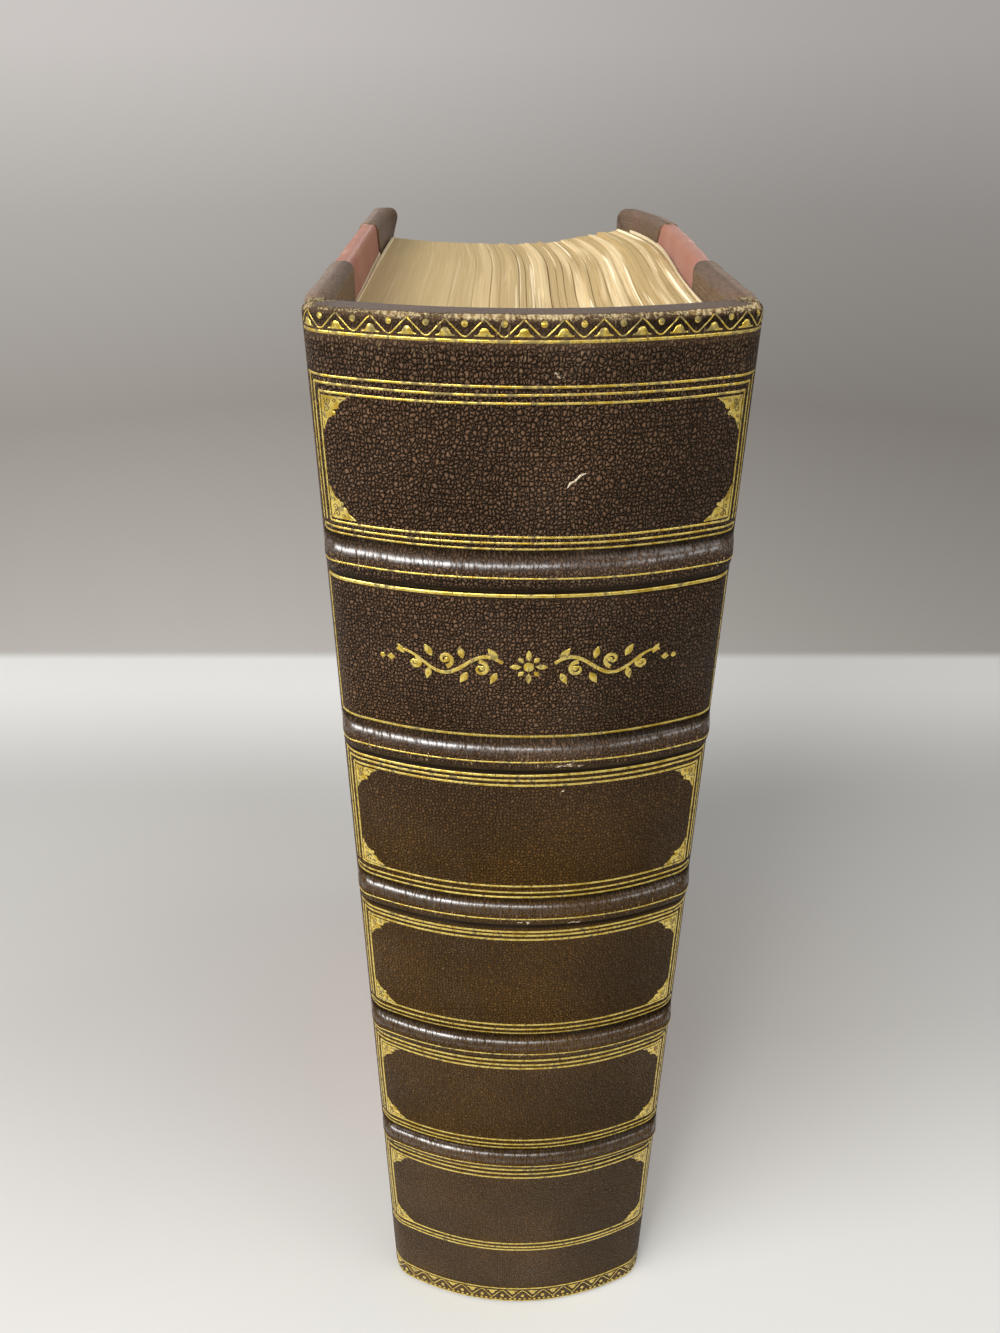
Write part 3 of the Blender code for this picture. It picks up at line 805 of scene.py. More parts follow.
# %% Marks of wear and polish
nearest = np.argmin(np.abs(H[..., None] - np.array(BANDS)), axis=-1)
over_band = H - np.array(BANDS)[nearest]
fade = band_fade(U)


def between(value, low, rise, high, fall):
    """1 from low to high, with a soft rise and a soft fall of these lengths."""
    return smooth((value - low) / rise) * smooth((high - value) / fall)


def spot(u, h, wide, high):
    """A soft blot around one place on the back."""
    return np.exp(-(((U - u) / wide) ** 2) - ((H - h) / high) ** 2)


upper_slope = between(over_band, -0.0001, 0.0008, 0.0046, 0.0007)
lower_groove = between(-over_band, 0.0018, 0.0006, 0.0048, 0.0006)
ends = smooth((np.abs(U) - 0.0325) / 0.004)
pressed = np.maximum(upper_slope * (0.34 + 0.45 * ends), 0.93 * lower_groove) * fade**0.3
on_cap = smooth((H - 0.24985) / 0.0006) + smooth((0.00015 - H) / 0.0006)
under_roll = smooth((H - 0.2461) / 0.0005) + smooth((0.0072 - H) / 0.0005)
polish = np.clip(pressed + 0.92 * on_cap + 0.70 * under_roll, 0, 0.95)
shine = between(over_band, 0.0008, 0.0006, 0.0030, 0.0006)
shine = 1.35 * shine * fade**0.3 * (1 - 0.25 * smooth((U - 0.008) / 0.02)) + 0.15 * on_cap
# Painted shade, with some grime: dark under and over each band, a dark strip under the head roll, and darker
# towards the right of the back.
shade_and_grime = 1.0 * lower_groove * fade**0.4
shade_and_grime = shade_and_grime + 0.70 * between(over_band, 0.0026, 0.0005, 0.0042, 0.0005)
shade_and_grime = shade_and_grime + 0.60 * between(H, 0.2469, 0.0003, 0.2495, 0.0005)
shade_and_grime = shade_and_grime + 0.34 * smooth((U - 0.002) / 0.022) * (1 - on_cap)
cap_edge = np.exp(-(((H - 0.24990) / 0.00080) ** 2))
tail_edge = np.exp(-(((H + 0.0001) / 0.0008) ** 2))
crest = np.exp(-(((over_band + 0.0004) / 0.0011) ** 2))
rub = 0.66 * cap_edge * (0.90 + 0.40 * ends + 0.22 * ripple(U, H, 61, 0.006)) + 0.30 * tail_edge
rub = rub + 0.20 * crest * smooth((np.abs(U) - 0.029) / 0.004) * fade**0.3 + 0.12 * crest
rub = rub + 0.32 * ends * smooth((H - 0.238) / 0.010) + 0.16 * on_cap
rub = rub + 0.40 * spot(0.033, 0.2435, 0.005, 0.005) + 0.16 * spot(0.006, 0.2425, 0.0022, 0.0022)
for *place, amount in (
    (0.0055, 0.1776, 0.0060, 0.0009, 0.42),
    (0.0090, 0.1404, 0.0050, 0.0009, 0.34),
    (-0.001, 0.1408, 0.0022, 0.0008, 0.30),
    (0.0060, 0.1704, 0.0007, 0.0007, 0.60),
    (0.0240, 0.1640, 0.0016, 0.0008, 0.30),
    (0.0030, 0.2424, 0.0014, 0.0005, 0.34),
):
    rub = rub + amount * spot(*place)
strain = 0.80 * np.exp(-(((over_band + 0.0003) / 0.0013) ** 2)) * fade
strain = strain + 0.25 * smooth((H - 0.2375) / 0.003) * (1 - on_cap)
print("most rubbed", round(float(rub.max()), 2))

# %% The skin itself
UV_MARGIN = (0.05, 0.01)
marks = {"polish": polish, "shine": shine, "rub": rub, "strain": strain}
marks["shade_and_grime"] = np.clip(shade_and_grime, 0, 0.9)
spine_skin = new_piece(
    "spine_skin",
    skin(U, H, relief(U, H)),
    grid_faces(len(rows), len(columns)),
    spine_morocco,
    together(U + UV_MARGIN[0], H + UV_MARGIN[1]),
    marks,
)
give_thickness(spine_skin, 0.0008)
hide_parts("spine_leather")
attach(spine_skin, "root")
print("leather quads", len(spine_skin.data.polygons))

# %% [markdown]
# ## Gold tooling
#
# The finisher lays gold leaf and presses it in with heated tools: fillets for lines, a
# roll for the running zigzag at head and tail, and a corner block. So the gold is drawn
# flat first, like the finisher's paper pattern: x is the way round the back, y the
# height, z a hair of thickness. Geometry Nodes repeat the roll and set the corner
# blocks. Then the whole pattern is wrapped on the leather, bands and caps included.


# %% A flat pattern that collects strokes
class Pattern:
    """Strips and discs in the flat. UV runs along each strip in U and across it in V."""

    def __init__(self):
        self.points, self.faces, self.uv = [], [], []

    def grid(self, points, uv, flip=False):
        """Adds rows of points, joined by quads."""
        faces = grid_faces(*points.shape[:2], flip, first=len(self.points))
        self.faces.extend(faces.tolist())
        self.points.extend(points.reshape(-1, 3).tolist())
        self.uv.extend(uv.reshape(-1, 2).tolist())

    def lines(self, made, along, across):
        """Adds lines of points. Their UV comes from a place along and one across."""
        self.grid(np.array(made), np.stack(np.meshgrid(along, across), -1))

    def strip(self, path, width, raise_by=0.0, step=0.0005):
        """A line of gold: its path, and its width as a number or one for each point."""
        path = np.asarray(path, float)
        lengths = lengths_along(path)
        at = np.linspace(0, lengths[-1], max(2, int(lengths[-1] / step) + 1))
        x, y = (np.interp(at, lengths, path[:, k]) for k in (0, 1))
        w = np.interp(at, lengths, np.broadcast_to(np.asarray(width, float), len(path))) / 2
        heading = np.arctan2(np.gradient(y), np.gradient(x))
        offsets = np.array([-1.0, -0.72, 0.72, 1.0])
        made = [
            together(x - np.sin(heading) * (w * k), y + np.cos(heading) * (w * k), raise_by + lift)
            for k, lift in zip(offsets, (-0.00003, 0.00004, 0.00004, -0.00003))
        ]
        self.lines(made, at, (offsets + 1) / 2)

    def disc(self, centre, radius, raise_by=0.0):
        around = np.linspace(0, 2 * math.pi, 17)
        made = [
            together(
                centre[0] + radius * share * np.cos(around),
                centre[1] + radius * share * np.sin(around),
                lift + raise_by,
            )
            for share, lift in ((1.0, -0.00003), (0.78, 0.00004), (0.02, 0.00007))
        ]
        self.lines(made, around * 0.001, [0.06, 0.2, 0.5])

    def mesh_object(self, name, material):
        made = new_piece(name, self.points, self.faces, material, self.uv)
        face_up(made)
        return made


def face_up(flat):
    """Turns every face of a flat pattern towards +z, also after a mirrored copy."""
    shape = bmesh.new()
    shape.from_mesh(flat.data)
    shape.normal_update()
    bmesh.ops.reverse_faces(shape, faces=[f for f in shape.faces if f.normal.z < 0])
    shape.to_mesh(flat.data)
    shape.free()


def wrap(flat, above=0.00003):
    """Lays a flat pattern on the leather of the back."""

    def on_leather(points):
        u, h, lift = points.T
        return skin(u, h, relief(u, h) + lift + above)

    move_points(flat, on_leather)
    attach(flat, "root")
    print(flat.name, "faces", len(flat.data.polygons))


# %% [markdown]
# Five compartments have three lines above and below and three up each side. The second
# compartment has a single heavier frame. Each band carries one thin line on its crest,
# and one line closes each roll. The outer pair of each lower set meets in a loop.

# %% Lines
TRIPLES = [
    ((240.7, 239.6, 238.4), (218.5, 217.5, 216.5)),
    ((174.3, 173.3, 172.2), (148.6, 147.1, 145.8)),
    ((136.9, 135.9, 134.8), (110.1, 108.7, 107.4)),
    ((98.8, 97.5, 96.2), (70.8, 69.3, 67.8)),
    ((59.6, 58.0, 56.4), (28.3, 26.8, 25.6)),
]
SECOND_FRAME = (208.7, 182.4)
SIDE_LINES = (34.5, 33.4, 32.3)
LOOP_U = 0.0340
CORNER_U = 0.03185
LINES_WIDE = (0.00037, 0.00045, 0.00050, 0.00055, 0.00058)
fillets = Pattern()


def sway(reach, level, seed):
    """A hand-run line wanders by a few hundredths of a millimetre."""
    xs = np.linspace(-reach, reach, 60)
    return np.c_[xs, level + 0.00008 * ripple(xs, 0 * xs + level, seed, 0.04)]


for (above, below), wide in zip(TRIPLES, LINES_WIDE):
    for k in range(3):
        fillets.strip(sway((SIDE_LINES[0] - 1.1 * k + 0.5 * (k == 0)) * MM, above[k] * MM, k), wide)
    fillets.strip(sway(SIDE_LINES[2] * MM, below[0] * MM, 11), wide)
    for k in (1, 2):
        fillets.strip(sway(LOOP_U, below[k] * MM, 12 + k), wide)
    for sign in (-1, 1):
        middle, half = (below[1] + below[2]) / 2 * MM, (below[1] - below[2]) / 2 * MM
        bend = np.linspace(-QUARTER, QUARTER, 9)
        loop = np.c_[sign * (LOOP_U + half * np.cos(bend)), middle + half * np.sin(bend)]
        fillets.strip(loop, wide, step=0.0002)
        for k, u in enumerate(SIDE_LINES):
            top, bottom = above[k] * MM, below[0] * MM - 0.0002 * (2 - k)
            levels = np.linspace(top, bottom, 20)
            fillets.strip(np.c_[0 * levels + sign * u * MM, levels], wide * 0.95)
for level in SECOND_FRAME:
    fillets.strip(sway(0.0348, level * MM, 21), 0.00056)
for sign in (-1, 1):
    levels = np.linspace(SECOND_FRAME[0], SECOND_FRAME[1], 20) * MM
    fillets.strip(np.c_[0 * levels + sign * 0.0347, levels], 0.0004)
for middle in BANDS:
    fillets.strip(sway(0.0330, middle - 0.0001, 25), 0.00030)
GOLD_END = BACK_HALF - 0.0008
HEAD_LINE, TAIL_LINE = 0.2467, 0.0070
fillets.strip(sway(GOLD_END, HEAD_LINE, 26), 0.00046)
fillets.strip(sway(GOLD_END, TAIL_LINE, 27), 0.00055)
fillets.strip(sway(GOLD_END, 0.0012, 28), 0.00065)
for u in np.linspace(-GOLD_END + 0.0004, GOLD_END - 0.0004, 58):
    fillets.disc((u, 0.00205), 0.00036)
gilt_fillets = fillets.mesh_object("gilt_fillets", gold_leaf)
wrap(gilt_fillets)

# %% [markdown]
# The roll's wheel bears one cell of the pattern: a V, a dot in its mouth, and half a
# dome on each side standing on the line. A Mesh Line sets out the points, the cell is
# instanced on them, and Realize Instances turns the copies into plain mesh.

# %% One cell of the zigzag roll
ROLL_PITCH = 0.00535
ROLL_FIRST = -0.03615
cell = Pattern()
valley, arms = 0.24725, 0.24945
half = ROLL_PITCH / 2
for sign in (-1, 1):
    vee = [(0, valley), (sign * 0.0004, valley + 0.0001), (sign * half * 0.97, arms)]
    cell.strip(vee, 0.00023, step=0.0003)
cell.disc((0.0, 0.24892), 0.00046)
cell.disc((0.0, 0.24892), 0.00017, raise_by=0.00004)
dome_x = np.linspace(-1, 1, 15)
dome_top = 0.24738 + 0.00092 * np.exp(-((dome_x / 0.50) ** 4)) + 0.00010
ring = [
    together(half + dome_x * wide, level, lift)
    for wide, level, lift in (
        (0.00140, 0.24728, -0.00002),
        (0.00135, 0.24734, 0.00004),
        (0.00130, dome_top - 0.00006, 0.00004),
        (0.00135, dome_top, -0.00002),
    )
]
cell.lines(ring, dome_x * 0.001, [0.1, 0.3, 0.7, 0.9])
roll_cell = cell.mesh_object("roll_cell", gold_leaf)


# %% The tree that runs the roll
def copied(net, points, shape, finish, values=None):
    """Copies of a shape on points, turned into plain mesh and given one finish."""
    values = {"Points": points, "Instance": shape, **(values or {})}
    copies = net.add("GeometryNodeInstanceOnPoints", values)[0]
    plain = net.add("GeometryNodeRealizeInstances", {0: copies})[0]
    return net.add("GeometryNodeSetMaterial", {"Geometry": plain, "Material": finish})[0]


runner, given, out = new_group(
    "run_a_roll",
    {"Cell": "Geometry", "Count": "Int", "First": 0.0, "Pitch": 0.0, "Finish": "Material"},
    ("Roll",),
    "Geometry",
)
start = runner.add("ShaderNodeCombineXYZ", {"X": given["First"]})[0]
stride = runner.add("ShaderNodeCombineXYZ", {"X": given["Pitch"]})[0]
spots = {"Count": given["Count"], "Start Location": start, "Offset": stride}
spots = runner.add("GeometryNodeMeshLine", spots)[0]
runner.feed(out["Roll"], copied(runner, spots, given["Cell"], given["Finish"]))


# %% Running a tree
def grown(source, net, values, name):
    """Runs a Geometry Nodes tree on an object and keeps the result as a plain mesh."""
    modifier = source.modifiers.new(name, "NODES")
    modifier.node_group = net.tree
    for item in net.tree.interface.items_tree:
        if item.item_type == "SOCKET" and item.in_out == "INPUT" and item.name in values:
            modifier[item.identifier] = values[item.name]
    source.update_tag()
    bpy.context.view_layer.update()
    graph = bpy.context.evaluated_depsgraph_get()
    mesh = bpy.data.meshes.new_from_object(source.evaluated_get(graph))
    mesh.name = name
    source.modifiers.remove(modifier)
    return put_in_scene(name, mesh)


# %% Head and tail rolls
settings = {"Count": 14, "First": ROLL_FIRST, "Pitch": ROLL_PITCH, "Finish": gold_leaf}
head_roll = grown(roll_cell, runner, settings, "gilt_roll_head")
tail_roll = put_in_scene("gilt_roll_tail", head_roll.data.copy())


def to_tail(points):
    points[:, 1] = TAIL_LINE - (points[:, 1] - HEAD_LINE) * 1.55
    return points


def within_gold(points):
    points[:, 0] = np.clip(points[:, 0], -GOLD_END, GOLD_END)
    return points


move_points(tail_roll, to_tail)
for roll in (head_roll, tail_roll):
    face_up(roll)
    move_points(roll, within_gold)
    wrap(roll)
bpy.data.objects.remove(roll_cell, do_unlink=True)

# %% [markdown]
# The corner block is solid gold with its scrolls left dark, a concave leafy edge and a
# bud. It is modelled once, and the nodes set it at every corner of five compartments:
# each point of a small mesh carries a vector that mirrors the block left or right, up
# or down. Mirrored faces are turned back by face_up.

# %% The corner block
LEG_U, LEG_H = 0.0046, 0.0052


def curl(centre, outer, inner, begin, sweep, count=26):
    """Points of a scroll that winds in."""
    share = np.linspace(0, 1, count)
    radius = outer + (inner - outer) * share**0.8
    angle = math.radians(begin) + math.radians(sweep) * share
    return np.c_[centre[0] + radius * np.cos(angle), centre[1] + radius * np.sin(angle)]


block = Pattern()
angles = np.linspace(0, QUARTER, 33)
lobes = 1 + 0.07 * np.cos(angles * 12) * np.sin(2 * angles)
reach = 1 / ((np.cos(angles) / LEG_U) ** 0.86 + (np.sin(angles) / LEG_H) ** 0.86) ** (1 / 0.86)
rings = [
    together(reach * lobes * share * np.cos(angles), reach * lobes * share * np.sin(angles), lift)
    for share, lift in zip([0.02, 0.35, 0.68, 0.95, 1.0], [0.00004] * 4 + [-0.00003])
]
block.lines(rings, angles * 0.001, [0.5, 0.45, 0.4, 0.3, 0.05])
block.disc((0.00212, 0.00248), 0.00034)
spandrel = block.mesh_object("corner_block", gold_leaf)
scrolls = Pattern()
for points, width in (
    (curl((0.00120, 0.00078), 0.00062, 0.00012, 200, -470), 0.00017),
    (curl((0.00082, 0.00190), 0.00062, 0.00012, 250, 470), 0.00017),
    (curl((0.00242, 0.00052), 0.00034, 0.00008, 170, -400), 0.00015),
    (curl((0.00056, 0.00310), 0.00034, 0.00008, 280, 400), 0.00015),
    ([(0.0003, 0.0003), (0.0009, 0.0012), (0.0017, 0.0019)], 0.00012),
    ([(0.0031, 0.00040), (0.0038, 0.00030)], 0.00009),
    ([(0.00036, 0.0038), (0.00028, 0.0045)], 0.00009),
):
    scrolls.strip(points, width, raise_by=0.00003, step=0.0002)
block_scrolls = scrolls.mesh_object("corner_scrolls", pressed_line)

# %% The tree that sets the blocks
setter, given, out = new_group(
    "set_corner_blocks",
    {"Corners": "Geometry", "Block": "Object", "Finish": "Material"},
    ("Blocks",),
    "Geometry",
)
shape = setter.add("GeometryNodeObjectInfo", {"Object": given["Block"]})["Geometry"]
mirror = {"Name": "mirror"}
mirror = setter.add("GeometryNodeInputNamedAttribute", mirror, data_type="FLOAT_VECTOR")
mirror = {"Scale": mirror["Attribute"]}
setter.feed(out["Blocks"], copied(setter, given["Corners"], shape, given["Finish"], mirror))

# %% Corners of the five compartments
corner_points, mirrors = [], []
for above, below in TRIPLES:
    for sign in (-1, 1):
        for level, upwards in ((above[2] - 0.5, -1.0), (below[0] + 0.5, 1.0)):
            corner_points.append((sign * CORNER_U, level * MM, 0.0))
            mirrors.append((-sign, upwards, 1.0))
corner_mesh = bpy.data.meshes.new("corner_points")
corner_mesh.from_pydata(corner_points, [], [])
layer = corner_mesh.attributes.new("mirror", "FLOAT_VECTOR", "POINT")
layer.data.foreach_set("vector", np.array(mirrors, float).ravel())
corner_object = put_in_scene("corner_points", corner_mesh)
for source, finish, name in (
    (spandrel, gold_leaf, "gilt_corners"),
    (block_scrolls, pressed_line, "gilt_corner_scrolls"),
):
    made = grown(corner_object, setter, {"Block": source, "Finish": finish}, name)
    face_up(made)
    wrap(made)
for helper in (spandrel, block_scrolls, corner_object):
    bpy.data.objects.remove(helper, do_unlink=True)

# %% [markdown]
# The second compartment holds a plain arabesque: a rosette, and on each side a tendril
# with scrolls and leaves. One half is drawn and mirrored, so both agree.

# %% Arabesque
arabesque = Pattern()
MIDDLE = 0.1961
arabesque.disc((0.0, MIDDLE), 0.00085)
for k in range(8):
    angle = math.radians(45 * k)
    way = np.array([math.cos(angle), math.sin(angle)])
    long = 0.0031 if k % 2 == 0 else 0.0024
    petal = [np.array([0, MIDDLE]) + way * r for r in np.linspace(0.0012, long, 7)]
    arabesque.strip(petal, [0.0001, 0.0006, 0.00095, 0.00105, 0.0009, 0.0005, 0.0001])
for sign in (-1, 1):

    def put(points, width, raise_by=0.0):
        points = np.asarray(points, float)
        shown = np.c_[sign * points[:, 0], MIDDLE + points[:, 1]]
        arabesque.strip(shown, width, raise_by, step=0.0003)

    stem_x = np.linspace(0.0042, 0.0218, 40)
    stem_y = 0.0017 * np.sin((stem_x - 0.0042) / 0.0176 * 2 * math.pi * 1.25 + 0.4)
    stem_w = np.interp(stem_x, [0.0042, 0.012, 0.0218], [0.0006, 0.0007, 0.0004])
    put(np.c_[stem_x, stem_y], stem_w)
    for centre, size, begin, sweep in (
        ((0.0078, -0.0006), 0.0014, 80, 430),
        ((0.0136, 0.0008), 0.0014, 260, -430),
        ((0.0188, -0.0004), 0.0012, 100, 420),
    ):
        scroll = curl(centre, size, size * 0.22, begin, sweep, 30)
        put(scroll, np.linspace(0.0008, 0.0003, 30), 0.00001)
        end_point = scroll[-1]
        arabesque.disc((sign * end_point[0], MIDDLE + end_point[1]), 0.00044, 0.00002)
    for root, tip, wide in (
        ((0.0050, 0.0012), (0.0066, 0.0033), 0.0010),
        ((0.0100, -0.0014), (0.0112, -0.0034), 0.0010),
        ((0.0107, 0.0012), (0.0112, 0.0034), 0.0009),
        ((0.0158, 0.0012), (0.0170, 0.0032), 0.0010),
        ((0.0163, -0.0010), (0.0168, -0.0032), 0.0009),
        ((0.0052, -0.0012), (0.0062, -0.0033), 0.0009),
        ((0.0206, 0.0010), (0.0216, 0.0026), 0.0008),
    ):
        root, tip = np.array(root), np.array(tip)
        leaf = [root + (tip - root) * t for t in np.linspace(0, 1, 7)]
        put(leaf, 1.35 * wide * np.array([0.1, 0.6, 0.95, 1.0, 0.8, 0.45, 0.08]), 0.00001)
    tail = [(0.0222, 0.0), (0.0229, 0.0), (0.0236, 0.0)]
    put(tail, [0.0001, 0.0014, 0.0001])
    arabesque.disc((sign * 0.02445, MIDDLE), 0.00046)
gilt_arabesque = arabesque.mesh_object("gilt_arabesque", gold_leaf)
wrap(gilt_arabesque)

# %% [markdown]
# A few scuffs went deeper than colour: there the top skin has torn and pale fibres lie
# open. Each is a short ragged ribbon on the leather: one long scratch in the first
# compartment, and small flakes on the second and third bands.

# %% Torn scuffs
net = Finish("bare_fibre", 0.85)
threads = net.noise(net.where, 4200.0)
pale = net.mix(net.ease(threads, 0.35, 0.6), (0.26, 0.18, 0.10), (0.62, 0.53, 0.39))
net.shade({"Base Color": pale})
net.bump(threads, 0.6, 0.00010)
bare_fibre = net.material
random = np.random.default_rng(4)
scuffs = Pattern()
scratch = np.array([(5.1, 226.1), (5.6, 226.9), (6.3, 227.2), (7.0, 228.0), (7.8, 228.3)]) * MM
scuffs.strip(scratch, np.array([0.12, 0.40, 0.22, 0.40, 0.10]) * MM, step=0.0002)
scuffs.strip(scratch[1:4] + 0.00035, np.array([0.05, 0.16, 0.05]) * MM, step=0.0002)
for first, last, level, number in (
    (4.2, 9.4, 177.5, 16),
    (7.6, 10.2, 140.6, 7),
    (-1.6, 0.6, 140.9, 5),
    (5.6, 6.2, 170.4, 1),
    (2.6, 4.0, 242.4, 3),
):
    for _ in range(number):
        u, h = random.uniform(first, last), level + random.uniform(-0.5, 0.5)
        angle, length = random.uniform(-0.6, 0.6), random.uniform(0.25, 0.75)
        tip = (u + length * math.cos(angle), h + 0.7 * length * math.sin(angle))
        flake = np.array([(u, h), ((u + tip[0]) / 2, h + random.uniform(-0.1, 0.1)), tip]) * MM
        wide = random.uniform(0.18, 0.38)
        scuffs.strip(flake, np.array([0.06, wide, 0.05]) * MM, step=0.0002)
leather_scuffs = scuffs.mesh_object("leather_scuffs", bare_fibre)
wrap(leather_scuffs, above=0.00002)

# %% [markdown]
# ## Boards and their covering
#
# Each board is wrapped like a parcel: leather from the joint, cloth on the side, leather
# on two corners, all turned in over the edges. The wrapping is built flat as one sheet
# that goes round the board, cut along the seams, bent by the board's warp, and given the
# thickness of skin or cloth. Cutting one sheet keeps every seam tight.

# %% The boards' own shape
JOINT_GAP = 0.0003
COVER_THICKNESS = 0.0035
EDGE_RADIUS = 0.0011
CORNER_ROUND = 0.0042
JOINT_LEATHER = 0.036
CORNER_LEG = 0.042
TURN_IN = 0.0078
BUMPED = {"front": 0.0012, "rear": 0.0024}
SIDES = {"front": 1, "rear": -1}
WARPS = {"front": (-0.0010, 0.0048), "rear": (0.0058, 0.0004)}


def warp(side, along):
    splay, bow = WARPS[side]
    share = along / BOARD_DEPTH
    return splay * share + bow * np.sin(math.pi * np.minimum(1.0, share * share))


def on_board(side, out, along, z):
    """World points from flat ones: out of the board's outer face, along it, and up."""
    sign = SIDES[side]
    x = BOOK_X + sign * (HALF + warp(side, along) + out)
    return together(x, BOOK_Y + JOINT_Y + along, z)


def edge_steps(length):
    """Distances from an edge at which the wrapping has a line of vertices."""
    near = [0.0, 0.00012, 0.0003, 0.00055, 0.0008, 0.0011, 0.0016, 0.0024, 0.0034, 0.0042]
    near += [0.0055, 0.0068, TURN_IN, 0.0095]
    return near + list(np.arange(0.012, length, 0.0025))


# %% A flat sheet that goes round three edges
def wrapping():
    """bmesh of the whole parcel: x is out of the board, y along it, z up."""
    far = [BOARD_DEPTH - d for d in edge_steps(BOARD_DEPTH - 0.002)]
    along = sorted([JOINT_GAP] + far)
    half_z = edge_steps(BOARD_HEIGHT / 2)
    levels = sorted(half_z + [BOARD_HEIGHT - d for d in half_z])
    A, Z = np.meshgrid(along, levels)
    gap = np.minimum(np.minimum(BOARD_DEPTH - A, Z), BOARD_HEIGHT - Z)
    for at_head in (False, True):
        a = (A - (BOARD_DEPTH - CORNER_ROUND)) / CORNER_ROUND
        from_edge = BOARD_HEIGHT - Z if at_head else Z
        b = (CORNER_ROUND - from_edge) / CORNER_ROUND
        inside = (a > 1e-6) & (b > 1e-6)
        longest = np.maximum(a, b)
        share = np.where(a >= b, b / np.maximum(a, 1e-9), 2 - a / np.maximum(b, 1e-9))
        angle = math.pi / 4 * share
        new_a = BOARD_DEPTH - CORNER_ROUND + CORNER_ROUND * longest * np.cos(angle)
        new_b = CORNER_ROUND - CORNER_ROUND * longest * np.sin(angle)
        A = np.where(inside, new_a, A)
        Z = np.where(inside, BOARD_HEIGHT - new_b if at_head else new_b, Z)
        gap = np.where(inside, CORNER_ROUND * (1 - longest), gap)
    near_edge = np.maximum(EDGE_RADIUS - gap, 0.0)
    sink = EDGE_RADIUS - np.sqrt(np.maximum(EDGE_RADIUS**2 - near_edge**2, 0.0))
    shape = bmesh.new()
    distance = shape.verts.layers.float.new("gap")
    inside_mark = shape.verts.layers.float.new("inside")

    def put(at, x, hidden, away=0.0):
        vert = shape.verts.new((x, A[at], Z[at]))
        vert[distance] = away
        vert[inside_mark] = hidden
        return vert

    places = list(np.ndindex(A.shape))
    outer = {at: put(at, -sink[at], 0.0, gap[at]) for at in places}
    inner = {at: put(at, sink[at] - COVER_THICKNESS, 1.0, gap[at]) for at in places}
    count_r, count_c = A.shape
    for r, c in np.ndindex(count_r - 1, count_c - 1):
        around = [(r, c), (r, c + 1), (r + 1, c + 1), (r + 1, c)]
        shape.faces.new([outer[at] for at in around])
        shape.faces.new([inner[at] for at in reversed(around)])
    rim = [(0, c) for c in range(count_c)]
    rim += [(r, count_c - 1) for r in range(1, count_r)]
    rim += [(count_r - 1, c) for c in range(count_c - 2, -1, -1)]
    middle = {at: put(at, -COVER_THICKNESS / 2, 0.5) for at in rim}
    for a, b in zip(rim, rim[1:]):
        shape.faces.new((outer[b], outer[a], middle[a], middle[b]))
        shape.faces.new((middle[b], middle[a], inner[a], inner[b]))

    def past_turn_in(face):
        return all(v[inside_mark] == 1.0 and v[distance] > TURN_IN - 1e-6 for v in face.verts)

    open_part = [face for face in shape.faces if past_turn_in(face)]
    bmesh.ops.delete(shape, geom=open_part, context="FACES")
    return shape


def cut(shape, point, normal):
    """Keeps the part of the sheet on the side that the normal points away from."""
    bmesh.ops.bisect_plane(
        shape,
        geom=shape.verts[:] + shape.edges[:] + shape.faces[:],
        plane_co=point,
        plane_no=normal,
        clear_outer=True,
        dist=1e-7,
    )


# %% [markdown]
# The seams are where hands wore the book most, so the marks come from the sheet itself:
# the nearer a vertex is to the board's edge and to its corners, the more it is rubbed.
# Leather overlaps the cloth and stands higher. The corners have been
# bumped: there the layers have swollen, inwards and outwards. Close to the joint nothing
# stands higher, so the opened cover stays clear of the back.


